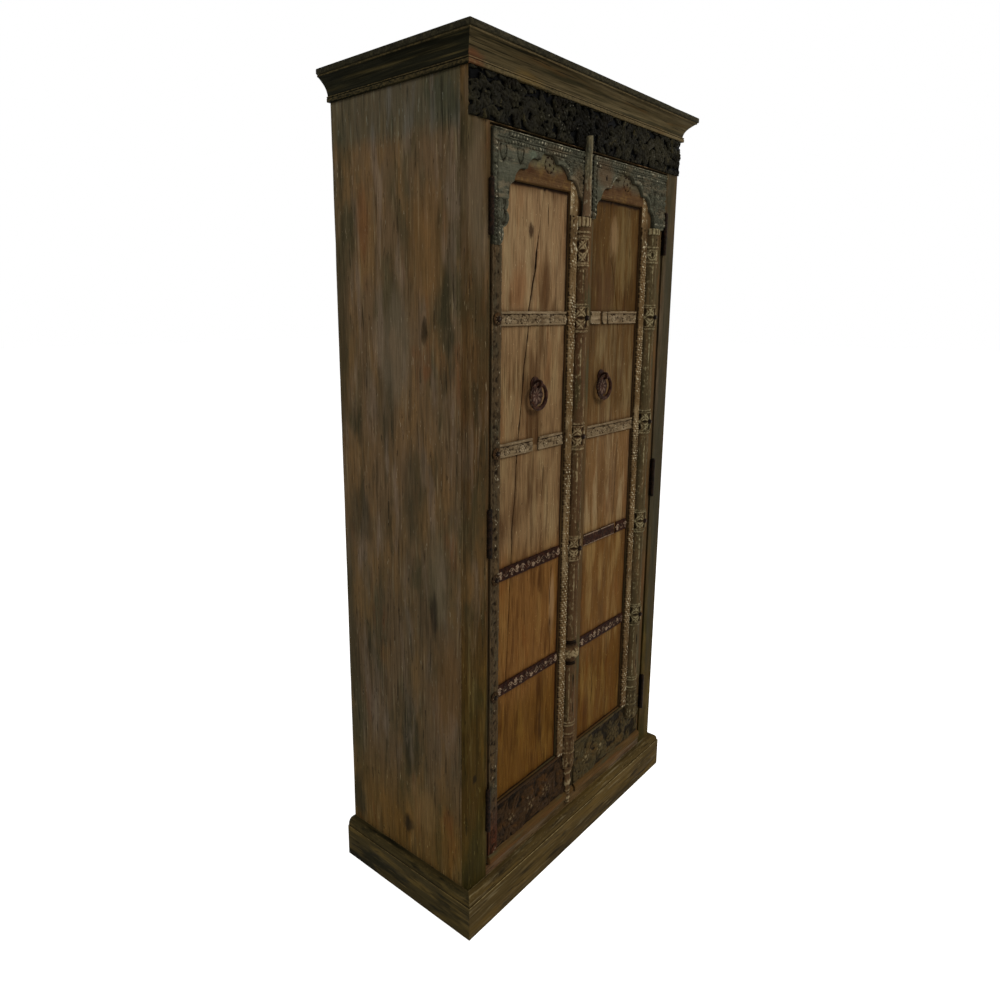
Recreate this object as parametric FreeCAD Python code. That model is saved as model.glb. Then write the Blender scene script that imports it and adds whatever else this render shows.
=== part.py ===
import FreeCAD
import Part

import math
import os

# A tall two-door cupboard built round a pair of old carved doors.
# Millimetres, +Z up, the doors face -Y. The origin is on the floor, below the middle of the cornice.

# Overall size, over the cornice
overall_width = 910.0
overall_depth = 430.0
overall_height = 1880.0

# Cornice: a lid board over a mitred moulding on the front and both sides
cornice_overhang = 36.0
cornice_height = 60.0
lid_thickness = 12.0
lid_step = 4.0
cornice_foot_overhang = 9.0
cornice_foot_height = 11.0
cornice_quirk = 3.0
cornice_cove_share = 0.42
cornice_cove_count = 6

# Plinth: boards on the front, the sides and the back, with a moulded top edge
plinth_height = 100.0
plinth_overhang = 24.0
plinth_moulding_height = 18.0
plinth_quirk = 2.5
plinth_top_width = 9.0
plinth_round_count = 4
plinth_back_thickness = 20.0
glue_block_size = 36.0

# Carcass boards
side_thickness = 20.0
frame_thickness = 20.0
front_stile_width = 61.0
sill_height = 24.0
sill_hidden_height = 40.0
back_thickness = 12.0
back_board_count = 5
back_board_gap = 1.0
bottom_thickness = 18.0
ceiling_thickness = 16.0
ceiling_drop = 4.0
shelf_thickness = 18.0
shelf_count = 3
shelf_front_gap = 12.0
cleat_height = 28.0
cleat_thickness = 18.0
cleat_end_gap = 20.0

# Carved frieze over the doors
frieze_height = 84.0
frieze_thickness = 11.0
frieze_lap = 2.0

# Door leaves
leaf_gap = 3.0
meeting_gap = 3.0
member_recess = 4.0
leaf_thickness = 28.0
plank_recess = 8.0
top_rail_height = 91.0
bottom_rail_height = 141.0
outer_stile_width = 35.0
slim_stile_width = 18.5
rope_width = 29.0
rope_depth = 8.0
column_strip_width = 11.5
pilaster_strip_width = 43.0
plank_joint_gap = 1.5
ledge_height = 62.0
ledge_thickness = 18.0
ledge_end_gap = 14.0
ledge_height_shares = (0.13, 0.49, 0.87)

# Joint line between the two planks of each leaf: (share across from the hinge side, share up)
left_joint_shares = ((0.14, 0.0), (0.16, 0.2), (0.21, 0.39), (0.30, 0.61), (0.44, 0.81), (0.64, 1.0))
right_joint_shares = ((0.34, 0.0), (0.36, 0.36), (0.38, 0.6), (0.40, 0.81), (0.58, 0.9), (0.63, 1.0))

# Straps across the planks, carved wood above and patterned iron below
strap_height = 30.0
wood_strap_thickness = 6.0
iron_strap_thickness = 4.0
strap_end_gap = 2.0
strap_height_shares = (0.2605, 0.432, 0.604, 0.775)
iron_strap_count = 2

# Carved overlays of a leaf: beaded strip, kick carving with its moulding, arch board
overlay_edge = 5.0
bead_strip_thickness = 8.0
kick_thickness = 8.0
kick_moulding_height = 22.0
kick_moulding_thickness = 11.0
arch_thickness = 12.0
arch_top_gap = 3.0
arch_rise = 102.0
arch_apex_drop = 29.0
arch_foot_width = 15.0
bracket_drop = 218.0
bracket_foot_width = 22.0
bracket_scallop_shares = (0.0, 0.24, 0.40, 0.62, 1.0)
bracket_width_shares = (1.0, 0.72, 1.12, 0.28, 0.0)
arch_cusp_shares = ((0.23, 0.86), (0.56, 0.63), (0.86, 0.35), (1.0, 0.0))
arch_lobe_share = 0.22

# Turned half columns
column_radius = 18.0
pilaster_radius = 20.0
boss_growth = 5.0
ring_growth = 3.0
boss_height = 68.0
boss_ring_height = 9.0
knob_growth = 7.0
knob_count = 8
capital_height = 22.0
capital_growth = 4.0
neck_height = 17.0
base_height = 93.0
base_growth = 4.0
base_ring_height = 15.0
base_ring_drop = 58.0
post_radius = 9.0
post_rise = 29.0
post_seat = 3.0
post_frieze_gap = 3.0
tail_drop = 13.0
tail_width = 30.0
tail_tip_width = 12.0
tail_thickness = 9.0
tail_clearance = 2.0

# Hinges
hinge_height = 105.0
hinge_knuckle_radius = 5.0
hinge_knuckle_count = 5
hinge_knuckle_gap = 0.4
hinge_plate_thickness = 2.0
hinge_plate_depth = 24.0
hinge_pin_radius = 2.2
hinge_pin_fit = 0.05
hinge_pin_head_radius = 4.2
hinge_pin_head_height = 3.0
hinge_top_drop = 149.0
hinge_bottom_rise = 146.0
screw_head_radius = 4.0
screw_radius = 1.8
screw_length = 16.0
screw_place_shares = (-0.36, 0.0, 0.36)

# Studs and rosettes
stud_radius = 7.0
stud_height = 6.0
rosette_radius = 13.0
rosette_thickness = 3.0

# Ring pulls
ring_outer_radius = 31.0
ring_wire_radius = 3.75
ring_stand_off = 12.0
ring_height_share = 0.671
left_ring_place_share = 0.533
right_ring_place_share = 0.722
eye_hole_radius = 4.5
eye_outer_radius = 9.0
eye_thickness = 6.0
eye_stem_radius = 3.5
eye_plate_radius = 15.0
eye_plate_thickness = 2.0

# Stop block that the leaves close against
stop_width = 130.0
stop_height = 26.0
stop_thickness = 20.0
stop_clearance = 0.5

cut_overrun = 1.0

# Planes worked out from the sizes above
carcass_half = overall_width / 2 - cornice_overhang
front = -(overall_depth / 2 - cornice_overhang)
back = overall_depth / 2
frame_back = front + frame_thickness
cornice_bottom = overall_height - cornice_height
lid_bottom = overall_height - lid_thickness
frieze_bottom = cornice_bottom - frieze_height
inner_half = carcass_half - side_thickness
back_inner = back - back_thickness
opening_half = carcass_half - front_stile_width
opening_bottom = plinth_height + sill_height
opening_top = frieze_bottom - frieze_lap
leaf_bottom = opening_bottom + leaf_gap
leaf_top = opening_top - leaf_gap
leaf_height = leaf_top - leaf_bottom
leaf_outer = opening_half - leaf_gap
leaf_inner = meeting_gap / 2
member_front = front + member_recess
leaf_back = member_front + leaf_thickness
plank_front = front + plank_recess
planks_bottom = leaf_bottom + bottom_rail_height
planks_top = leaf_top - top_rail_height
arch_front = member_front - arch_thickness
capital_top = leaf_top - arch_apex_drop - arch_rise - neck_height / 2
axis_x = opening_half - leaf_gap / 2
axis_y = front - hinge_knuckle_radius
floor_of_cabinet = plinth_height + bottom_thickness
ceiling_bottom = cornice_bottom - ceiling_drop - ceiling_thickness
shelf_front = leaf_back + ledge_thickness + shelf_front_gap


def box(x0, x1, y0, y1, z0, z1):
    """A block between two corners, given in either order."""
    low = FreeCAD.Vector(min(x0, x1), min(y0, y1), min(z0, z1))
    return Part.makeBox(abs(x1 - x0), abs(y1 - y0), abs(z1 - z0), low)


def face_of(points):
    """A flat face bounded by straight lines through the points."""
    corners = [FreeCAD.Vector(*point) for point in points]
    return Part.Face(Part.makePolygon(corners + corners[:1]))


def board(outline, y0, y1):
    """A board cut to an outline of (x, z) points, between two depths."""
    return face_of([(x, y0, z) for x, z in outline]).extrude(FreeCAD.Vector(0, y1 - y0, 0))


def disc(centre, direction, radius, length):
    """A round bar that starts at a centre and runs along a direction."""
    return Part.makeCylinder(radius, length, FreeCAD.Vector(*centre), FreeCAD.Vector(*direction))


def lobe(start, end, bulge):
    """An arc from one (x, z) point to the next that bows out to its left by a share of its chord."""
    along = (end[0] - start[0], end[1] - start[1])
    middle = ((start[0] + end[0]) / 2 - along[1] * bulge, (start[1] + end[1]) / 2 + along[0] * bulge)
    points = [FreeCAD.Vector(x, 0, z) for x, z in (start, middle, end)]
    return Part.Arc(*points).toShape()


def line(start, end):
    """A straight edge between two (x, z) points."""
    ends = [FreeCAD.Vector(x, 0, z) for x, z in (start, end)]
    return Part.LineSegment(*ends).toShape()


def save(name, *solids):
    """Write one node, a solid or a group of separate solids, to its own file."""
    shape = solids[0] if len(solids) == 1 else Part.makeCompound(list(solids))
    shape.exportStep(os.path.join("parts", name + ".step"))


def mirrored(shape):
    """The same shape on the other side of the middle plane."""
    return shape.mirror(FreeCAD.Vector(0, 0, 0), FreeCAD.Vector(1, 0, 0))


# Cornice and plinth run round three sides as one profile with mitred corners
def wrap(profile, half, front_plane, rear):
    """Left, front and right lengths of a profile of (outward, z) points, mitred at the front corners."""
    reach = cornice_overhang + max(out for out, z in profile)
    front_points = [(-half - reach, front_plane - out, z) for out, z in profile]
    front_run = face_of(front_points).extrude(FreeCAD.Vector(2 * (half + reach), 0, 0))
    side_start = front_plane - reach
    side_points = [(-half - out, side_start, z) for out, z in profile]
    side_run = face_of(side_points).extrude(FreeCAD.Vector(0, rear - side_start, 0))
    heights = [z for out, z in profile]
    low = min(heights) - cut_overrun
    tall = max(heights) + cut_overrun - low
    far = half + front_plane - side_start + cut_overrun
    corner = (-half, front_plane)
    tip = (-far - cut_overrun, front_plane - (far + cut_overrun - half))
    front_wedge = face_of([(corner[0], corner[1], low), (tip[0], tip[1], low), (-tip[0], tip[1], low),
                           (-corner[0], corner[1], low)]).extrude(FreeCAD.Vector(0, 0, tall))
    side_wedge = face_of([(corner[0], corner[1], low), (tip[0], tip[1], low), (tip[0], rear, low),
                          (corner[0], rear, low)]).extrude(FreeCAD.Vector(0, 0, tall))
    side = side_run.common(side_wedge)
    return side, front_run.common(front_wedge), mirrored(side)


def cornice_profile():
    """Foot band, quirk, long cove that sweeps out, and the bed below the lid."""
    top_out = cornice_overhang - lid_step
    foot_top = cornice_bottom + cornice_foot_height
    quirk_out = cornice_foot_overhang - cornice_quirk
    cove_bottom = foot_top + cornice_quirk
    cove_top = lid_bottom - cornice_quirk
    points = [(0, cornice_bottom), (cornice_foot_overhang, cornice_bottom), (cornice_foot_overhang, foot_top),
              (quirk_out, foot_top), (quirk_out, cove_bottom)]
    rise = cove_top - cove_bottom
    for step in range(1, cornice_cove_count + 1):
        share = step / cornice_cove_count
        swell = share - cornice_cove_share * math.sin(math.pi * share) / 2
        points.append((quirk_out + (top_out - quirk_out) * swell, cove_bottom + rise * share))
    return points + [(top_out, lid_bottom), (0, lid_bottom)]


def plinth_profile():
    """Flat face with a quirk and a rounded slope at its top edge."""
    slope_bottom = plinth_height - plinth_moulding_height
    quirk_out = plinth_overhang - plinth_quirk
    points = [(0, 0), (plinth_overhang, 0), (plinth_overhang, slope_bottom), (quirk_out, slope_bottom),
              (quirk_out, slope_bottom + plinth_quirk)]
    rise = plinth_moulding_height - plinth_quirk
    for step in range(1, plinth_round_count + 1):
        turn = math.pi / 2 * step / plinth_round_count
        out = plinth_top_width + (quirk_out - plinth_top_width) * math.cos(turn)
        points.append((out, slope_bottom + plinth_quirk + rise * math.sin(turn)))
    return points + [(0, plinth_height)]


def make_cornice_and_plinth():
    """Mouldings round the top and the foot, the lid, the back board and the corner blocks of the plinth."""
    names = ("left", "front", "right")
    for name, piece in zip(names, wrap(cornice_profile(), carcass_half, front, back)):
        save("cornice_" + name, piece)
    for name, piece in zip(names, wrap(plinth_profile(), carcass_half, front, back)):
        save("plinth_" + name, piece)
    half_lid = overall_width / 2
    save("cornice_lid", box(-half_lid, half_lid, -back, back, lid_bottom, overall_height))
    save("plinth_back", box(-inner_half, inner_half, back - plinth_back_thickness, back, 0, plinth_height))
    blocks = []
    rear = back - plinth_back_thickness
    for side in (-1, 1):
        x = side * inner_half
        for y in (frame_back, rear - glue_block_size):
            blocks.append(box(x, x - side * glue_block_size, y, y + glue_block_size, 0, plinth_height))
    save("plinth_glue_blocks", *blocks)


# Hinge places are shared by the frame, the leaves and the hinges themselves
def hinge_heights():
    """Middle heights of the three hinges of a leaf."""
    low = leaf_bottom + hinge_bottom_rise
    high = leaf_top - hinge_top_drop
    return (low, (low + high) / 2, high)


def knuckles(z, frame_side):
    """Bottom and top of each knuckle of one hinge on the frame side or on the leaf side."""
    pitch = hinge_height / hinge_knuckle_count
    low = z - hinge_height / 2
    spans = []
    for index in range(hinge_knuckle_count):
        if (index % 2 == 0) == frame_side:
            bottom = low + pitch * index
            spans.append((bottom + hinge_knuckle_gap / 2, bottom + pitch - hinge_knuckle_gap / 2))
    return spans


def hinge_half(z, side, frame_side):
    """A hinge plate with its knuckles and its screws; side is -1 on the left and 1 on the right."""
    face = opening_half if frame_side else leaf_outer
    inward = 1 if frame_side else -1
    front_edge = front if frame_side else member_front
    edge = side * face
    sunk = side * (face + inward * hinge_plate_thickness)
    low = z - hinge_height / 2
    plate = box(edge, sunk, front_edge, front_edge + hinge_plate_depth, low, low + hinge_height)
    bore = hinge_pin_radius if frame_side else hinge_pin_radius + hinge_pin_fit
    for bottom, top in knuckles(z, frame_side):
        barrel = disc((side * axis_x, axis_y, bottom), (0, 0, 1), hinge_knuckle_radius, top - bottom)
        web = box(edge, sunk, axis_y, front_edge, bottom, top)
        hole = disc((side * axis_x, axis_y, bottom), (0, 0, 1), bore, top - bottom)
        plate = plate.fuse(barrel.fuse(web)).cut(hole)
    screws = []
    for share in screw_place_shares:
        start = FreeCAD.Vector(edge, front_edge + hinge_plate_depth / 2, z + share * hinge_height)
        into = FreeCAD.Vector(side * inward, 0, 0)
        head = Part.makeCone(screw_head_radius, screw_radius, hinge_plate_thickness, start, into)
        shank = disc((sunk, start[1], start[2]), into, screw_radius, screw_length)
        screws.append(head.fuse(shank).removeSplitter())
    for screw in screws:
        plate = plate.cut(screw)
    return plate.removeSplitter(), screws


def hinge_pin(z, side):
    """A loose pin with a button head above the top knuckle."""
    low = z - hinge_height / 2
    shank = disc((side * axis_x, axis_y, low), (0, 0, 1), hinge_pin_radius, hinge_height)
    top = (side * axis_x, axis_y, low + hinge_height)
    head = Part.makeCone(hinge_pin_head_radius, hinge_pin_radius, hinge_pin_head_height, FreeCAD.Vector(*top))
    return shank.fuse(head)


def hinge_recess(z, side, frame_side, screws):
    """What a hinge plate and its screws take out of the wood."""
    face = opening_half if frame_side else leaf_outer
    inward = 1 if frame_side else -1
    front_edge = front if frame_side else member_front
    low = z - hinge_height / 2
    sunk = side * (face + inward * hinge_plate_thickness)
    past = side * (face - inward * cut_overrun)
    seat = box(past, sunk, front_edge - cut_overrun, front_edge + hinge_plate_depth, low, low + hinge_height)
    for screw in screws:
        seat = seat.fuse(screw)
    return seat


def make_hinges():
    """Both halves, the pins and the screws of all six hinges, and the recesses that they need."""
    frame_plates = []
    frame_screws = []
    pins = []
    recesses = {}
    for name, side in (("left", -1), ("right", 1)):
        leaf_plates = []
        leaf_screws = []
        recesses["frame_" + name] = []
        recesses["leaf_" + name] = []
        for z in hinge_heights():
            plate, screws = hinge_half(z, side, True)
            frame_plates.append(plate)
            frame_screws.extend(screws)
            recesses["frame_" + name].append(hinge_recess(z, side, True, screws))
            plate, screws = hinge_half(z, side, False)
            leaf_plates.append(plate)
            leaf_screws.extend(screws)
            recesses["leaf_" + name].append(hinge_recess(z, side, False, screws))
            pins.append(hinge_pin(z, side))
        save(name + "_leaf_hinge_plates", *leaf_plates)
        save(name + "_leaf_hinge_screws", *leaf_screws)
    save("frame_hinge_plates", *frame_plates)
    save("frame_hinge_screws", *frame_screws)
    save("hinge_pins", *pins)
    return recesses


def make_carcass(recesses):
    """Side boards, front frame, frieze, back, floor, ceiling, shelves with their cleats, stop block."""
    for name, side in (("left", -1), ("right", 1)):
        save("side_" + name, box(side * inner_half, side * carcass_half, frame_back, back, 0, lid_bottom))
        stile = box(side * opening_half, side * carcass_half, front, frame_back, 0, lid_bottom)
        for recess in recesses["frame_" + name]:
            stile = stile.cut(recess)
        save("front_stile_" + name, stile)
    save("front_sill", box(-opening_half, opening_half, front, frame_back,
                           plinth_height - sill_hidden_height, opening_bottom))
    save("front_top_rail", box(-opening_half, opening_half, front, frame_back, opening_top, lid_bottom))
    save("frieze_panel", box(-carcass_half, carcass_half, front - frieze_thickness, front,
                             frieze_bottom, cornice_bottom))
    boards = []
    pitch = 2 * inner_half / back_board_count
    for index in range(back_board_count):
        x = -inner_half + pitch * index
        boards.append(box(x + back_board_gap / 2, x + pitch - back_board_gap / 2, back_inner, back,
                          plinth_height, lid_bottom))
    save("back_boards", *boards)
    save("bottom_board", box(-inner_half, inner_half, frame_back, back_inner,
                             plinth_height, floor_of_cabinet))
    save("ceiling_board", box(-inner_half, inner_half, frame_back, back_inner,
                              ceiling_bottom, ceiling_bottom + ceiling_thickness))
    shelves = []
    cleats = []
    pitch = (ceiling_bottom - floor_of_cabinet) / (shelf_count + 1)
    for index in range(shelf_count):
        z = floor_of_cabinet + pitch * (index + 1)
        shelves.append(box(-inner_half, inner_half, shelf_front, back_inner, z, z + shelf_thickness))
        for side in (-1, 1):
            x = side * inner_half
            cleats.append(box(x, x - side * cleat_thickness, shelf_front + cleat_end_gap,
                              back_inner - cleat_end_gap, z - cleat_height, z))
    save("shelves", *shelves)
    save("shelf_cleats", *cleats)
    rear = leaf_back + stop_clearance + stop_thickness
    half_stop = stop_width / 2
    upper = box(-half_stop, half_stop, frame_back, rear, opening_top, opening_top + stop_height)
    lower = box(-half_stop, half_stop, leaf_back + stop_clearance, rear,
                leaf_top - stop_height, opening_top)
    save("door_stop", upper.fuse(lower).removeSplitter())


# Leaves. Distances across a leaf are measured from its hinge edge towards the middle.
class Leaf:
    """Places across one leaf; side is -1 on the left and 1 on the right."""

    def __init__(self, name, side):
        self.name = name
        self.side = side
        self.width = leaf_outer - leaf_inner
        if side < 0:
            self.planks_start = outer_stile_width
            self.column_centre = self.width - column_strip_width - column_radius
            self.column_radius = column_radius
            self.rope_start = self.column_centre - column_radius - rope_width
            self.planks_end = self.rope_start
        else:
            self.column_centre = pilaster_strip_width + pilaster_radius
            self.column_radius = pilaster_radius
            self.rope_start = self.column_centre + pilaster_radius
            self.planks_start = self.rope_start + rope_width
            self.planks_end = self.width - slim_stile_width

    def x(self, across):
        """Place of a distance across the leaf."""
        return self.side * (leaf_outer - across)

    def slab(self, start, end, y0, y1, z0, z1):
        """A block of the leaf between two distances across it."""
        return box(self.x(start), self.x(end), y0, y1, z0, z1)


def strap_heights():
    """Middle heights of the straps, which the bosses of the columns share."""
    return [leaf_bottom + leaf_height * share for share in strap_height_shares]


def make_leaf_frame(leaf, recesses):
    """Stiles, rails, planks and back ledges of a leaf."""
    stile = leaf.slab(0, leaf.planks_start, member_front, leaf_back, leaf_bottom, leaf_top)
    for recess in recesses:
        stile = stile.cut(recess)
    save(leaf.name + "_hinge_stile", stile)
    save(leaf.name + "_meeting_stile",
         leaf.slab(leaf.planks_end, leaf.width, member_front, leaf_back, leaf_bottom, leaf_top))
    rails = [leaf.slab(leaf.planks_start, leaf.planks_end, member_front, leaf_back, low, high)
             for low, high in ((planks_top, leaf_top), (leaf_bottom, planks_bottom))]
    save(leaf.name + "_rails", *rails)
    shares = left_joint_shares if leaf.side < 0 else right_joint_shares
    across = leaf.planks_end - leaf.planks_start
    up = planks_top - planks_bottom
    joint = [(leaf.planks_start + a * across, planks_bottom + b * up) for a, b in shares]
    planks = []
    for shift, edge in ((-plank_joint_gap / 2, leaf.planks_start), (plank_joint_gap / 2, leaf.planks_end)):
        outline = [(leaf.x(a + shift), z) for a, z in joint]
        outline += [(leaf.x(edge), planks_top), (leaf.x(edge), planks_bottom)]
        planks.append(board(outline, plank_front, leaf_back))
    save(leaf.name + "_planks", *planks)
    ledges = []
    for share in ledge_height_shares:
        z = leaf_bottom + leaf_height * share
        ledges.append(leaf.slab(ledge_end_gap, leaf.width - ledge_end_gap, leaf_back,
                                leaf_back + ledge_thickness, z - ledge_height / 2, z + ledge_height / 2))
    save(leaf.name + "_ledges", *ledges)


def make_straps(leaf):
    """Wood straps over the upper planks, iron straps over the lower ones."""
    iron = []
    wood = []
    for index, z in enumerate(strap_heights()):
        thickness = iron_strap_thickness if index < iron_strap_count else wood_strap_thickness
        strap = leaf.slab(leaf.planks_start + strap_end_gap, leaf.planks_end - strap_end_gap,
                          plank_front - thickness, plank_front, z - strap_height / 2, z + strap_height / 2)
        if index < iron_strap_count:
            iron.append(strap)
        else:
            wood.append(strap)
    save(leaf.name + "_iron_straps", *iron)
    save(leaf.name + "_wood_straps", *wood)


def make_rope_strip(leaf):
    """A half round strip beside the column, from the kick carving up to the arch board."""
    start = leaf.x(leaf.rope_start)
    end = leaf.x(leaf.rope_start + rope_width)
    middle = (start + end) / 2
    points = [FreeCAD.Vector(x, y, planks_bottom) for x, y in
              ((start, member_front), (middle, member_front - rope_depth), (end, member_front))]
    edges = [Part.Arc(*points).toShape(), Part.LineSegment(points[2], points[0]).toShape()]
    face = Part.Face(Part.Wire(edges))
    return face.extrude(FreeCAD.Vector(0, 0, capital_top - planks_bottom))


def arch_points(near, far):
    """Corners between the lobes of a cusped arch, in (distance across, z)."""
    crown = leaf_top - arch_apex_drop
    spring = crown - arch_rise
    centre = (near + far) / 2
    half = (far - near) / 2
    falling = [(centre + half * a, spring + arch_rise * b) for a, b in arch_cusp_shares]
    rising = [(2 * centre - a, z) for a, z in reversed(falling)]
    return rising + [(centre, crown)] + falling


def make_arch(leaf):
    """The carved board over the planks, with a cusped arch and a scalloped bracket down the hinge side."""
    near = leaf.planks_start + arch_foot_width if leaf.side < 0 else leaf.column_centre
    far = leaf.column_centre if leaf.side < 0 else leaf.planks_end + slim_stile_width - arch_foot_width
    board_top = leaf_top - arch_top_gap
    start = overlay_edge
    end = leaf.width - overlay_edge / 2
    place = [(leaf.x(a), z) for a, z in arch_points(near, far)]
    edges = []
    bend = leaf.side
    foot = (place[0][0], capital_top)
    if leaf.side < 0:
        bracket = []
        low = leaf_top - bracket_drop
        reach = place[0][1] - low
        spread = near - start - bracket_foot_width
        for down, wide in zip(bracket_scallop_shares, bracket_width_shares):
            bracket.append((leaf.x(start + bracket_foot_width + spread * wide), place[0][1] - reach * down))
        bracket = bracket[::-1]
        outer = (leaf.x(start), low)
        edges.append(line(outer, bracket[0]))
        for first, second in zip(bracket, bracket[1:]):
            edges.append(line(first, second))
        place[0] = bracket[-1]
    else:
        outer = (leaf.x(start), capital_top)
        edges.append(line(outer, foot))
        edges.append(line(foot, place[0]))
    for index in range(len(place) - 1):
        edges.append(lobe(place[index], place[index + 1], -bend * arch_lobe_share))
    last = (place[-1][0], capital_top)
    inner_low = (leaf.x(end), capital_top)
    inner_high = (leaf.x(end), board_top)
    outer_high = (leaf.x(start), board_top)
    edges.append(line(place[-1], last))
    edges.append(line(last, inner_low))
    edges.append(line(inner_low, inner_high))
    edges.append(line(inner_high, outer_high))
    edges.append(line(outer_high, outer))
    face = Part.Face(Part.Wire(edges))
    return face.extrude(FreeCAD.Vector(0, arch_thickness, 0)).translated(FreeCAD.Vector(0, arch_front, 0))


def column_profile(radius, with_knob):
    """Radius and height pairs of a turned column, from its foot up to the top of its capital."""
    ring = radius + ring_growth
    boss = radius + boss_growth
    foot = planks_bottom - base_height / 2
    base_top = foot + base_height
    base = radius + base_growth
    profile = [(radius, foot), (base, foot + base_height / 4), (base, base_top), (radius, base_top)]
    for index in (1, 2):
        low = base_top + base_ring_drop / 2 * index
        high = low + base_ring_height
        profile += [(radius, low), (ring, low), (ring, high), (radius, high)]
    for index, z in enumerate(strap_heights()):
        low = z - boss_height / 2
        high = z + boss_height / 2
        if index == 0 and with_knob:
            knob = radius + knob_growth
            for step in range(knob_count + 1):
                height = -1 + 2 * step / knob_count
                profile.append((radius + knob_growth * math.sqrt(1 - height * height), z + knob * height))
            continue
        boss_low = low + boss_ring_height
        boss_high = high - boss_ring_height
        profile += [(radius, low), (ring, low), (ring, boss_low), (boss, boss_low)]
        profile += [(boss, boss_high), (ring, boss_high), (ring, high), (radius, high)]
    capital = radius + capital_growth
    capital_low = capital_top - capital_height
    neck = capital_low - neck_height
    neck_top = neck + neck_height / 3
    profile += [(radius, neck), (ring, neck), (ring, neck_top), (radius, neck_top)]
    profile += [(radius, capital_low), (capital, capital_low), (capital, capital_top)]
    return profile


def half_turned(profile, x):
    """Half of a turned column, flat against the stiles."""
    points = [(x, member_front, profile[0][1])]
    points += [(x + radius, member_front, z) for radius, z in profile]
    points.append((x, member_front, profile[-1][1]))
    axis = FreeCAD.Vector(0, 0, 1)
    return face_of(points).revolve(FreeCAD.Vector(x, member_front, 0), axis, -180)


def make_columns(leaf):
    """The half column, with a post over the frieze and a tail over the sill on the leaf that closes last."""
    x = leaf.x(leaf.column_centre)
    column = half_turned(column_profile(leaf.column_radius, leaf.side < 0), x)
    if leaf.side < 0:
        post_top = leaf_top + post_rise
        post_foot = (x, arch_front - post_seat, capital_top)
        post = disc(post_foot, (0, 0, 1), post_radius, post_top - capital_top)
        behind = box(x - post_radius, x + post_radius, arch_front, arch_front + 2 * post_radius,
                     capital_top, post_top)
        clear_plane = front - frieze_thickness - post_frieze_gap
        over_frieze = box(x - 2 * post_radius, x + 2 * post_radius, clear_plane, front,
                          leaf_top - arch_top_gap, post_top)
        post = post.cut(behind).cut(over_frieze)
        foot = planks_bottom - base_height / 2
        rear = front - tail_clearance
        tip = leaf_bottom - tail_drop
        top_half = tail_width / 2
        tip_half = tail_tip_width / 2
        tail = board([(x - top_half, foot), (x + top_half, foot), (x + tip_half, tip), (x - tip_half, tip)],
                     rear - tail_thickness, rear)
        packing = box(x - tip_half, x + tip_half, rear, member_front, leaf_bottom, foot)
        column = column.fuse(post).fuse(tail).fuse(packing)
    save(leaf.name + "_column", column)
    return column


def make_kick(leaf, column):
    """Carved board over the bottom rail with a moulding along its foot, cut round the column."""
    carving = leaf.slab(leaf.planks_start, leaf.width - overlay_edge / 2, member_front - kick_thickness,
                        member_front, leaf_bottom + kick_moulding_height, planks_bottom)
    moulding = leaf.slab(overlay_edge, leaf.width - overlay_edge / 2, member_front - kick_moulding_thickness,
                         member_front, leaf_bottom, leaf_bottom + kick_moulding_height)
    return carving.fuse(moulding).removeSplitter().cut(column)


def make_studs(leaf):
    """Iron studs on the bosses, and rosettes with studs on the beaded strip."""
    studs = []
    rosettes = []
    x = leaf.x(leaf.column_centre)
    boss_front = member_front - leaf.column_radius - boss_growth
    for index, z in enumerate(strap_heights()):
        if index > 0 or leaf.side > 0:
            studs.append(dome(x, boss_front, z))
        if leaf.side < 0:
            strip_front = member_front - bead_strip_thickness
            middle = leaf.x((overlay_edge + outer_stile_width) / 2)
            rosettes.append(disc((middle, strip_front, z), (0, -1, 0), rosette_radius, rosette_thickness))
            studs.append(dome(middle, strip_front - rosette_thickness, z))
    save(leaf.name + "_studs", *studs)
    if rosettes:
        save(leaf.name + "_rosettes", *rosettes)


def dome(x, y, z):
    """A forged stud whose flat back rests at depth y."""
    ball = (stud_radius ** 2 + stud_height ** 2) / (2 * stud_height)
    centre = FreeCAD.Vector(x, y + ball - stud_height, z)
    cap = box(x - ball, x + ball, y - stud_height - cut_overrun, y, z - ball, z + ball)
    return Part.makeSphere(ball, centre).common(cap)


def make_ring(leaf, place_share):
    """A ring pull hung in an eye, at a share of the width of the planks."""
    x = leaf.x(leaf.planks_start + place_share * (leaf.planks_end - leaf.planks_start))
    y = plank_front - ring_stand_off
    pull_radius = ring_outer_radius - ring_wire_radius
    centre_z = leaf_bottom + leaf_height * ring_height_share
    eye_z = centre_z + pull_radius
    centre = FreeCAD.Vector(x, y, centre_z)
    save(leaf.name + "_ring", Part.makeTorus(pull_radius, ring_wire_radius, centre, FreeCAD.Vector(0, 1, 0)))
    plate = disc((x, plank_front, eye_z), (0, -1, 0), eye_plate_radius, eye_plate_thickness)
    stem = disc((x, plank_front, eye_z), (0, -1, 0), eye_stem_radius, ring_stand_off - eye_hole_radius)
    start = (x - eye_thickness / 2, y, eye_z)
    collar = disc(start, (1, 0, 0), eye_outer_radius, eye_thickness)
    hole = disc(start, (1, 0, 0), eye_hole_radius, eye_thickness)
    save(leaf.name + "_ring_eye", plate.fuse(stem).fuse(collar).cut(hole).removeSplitter())


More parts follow.
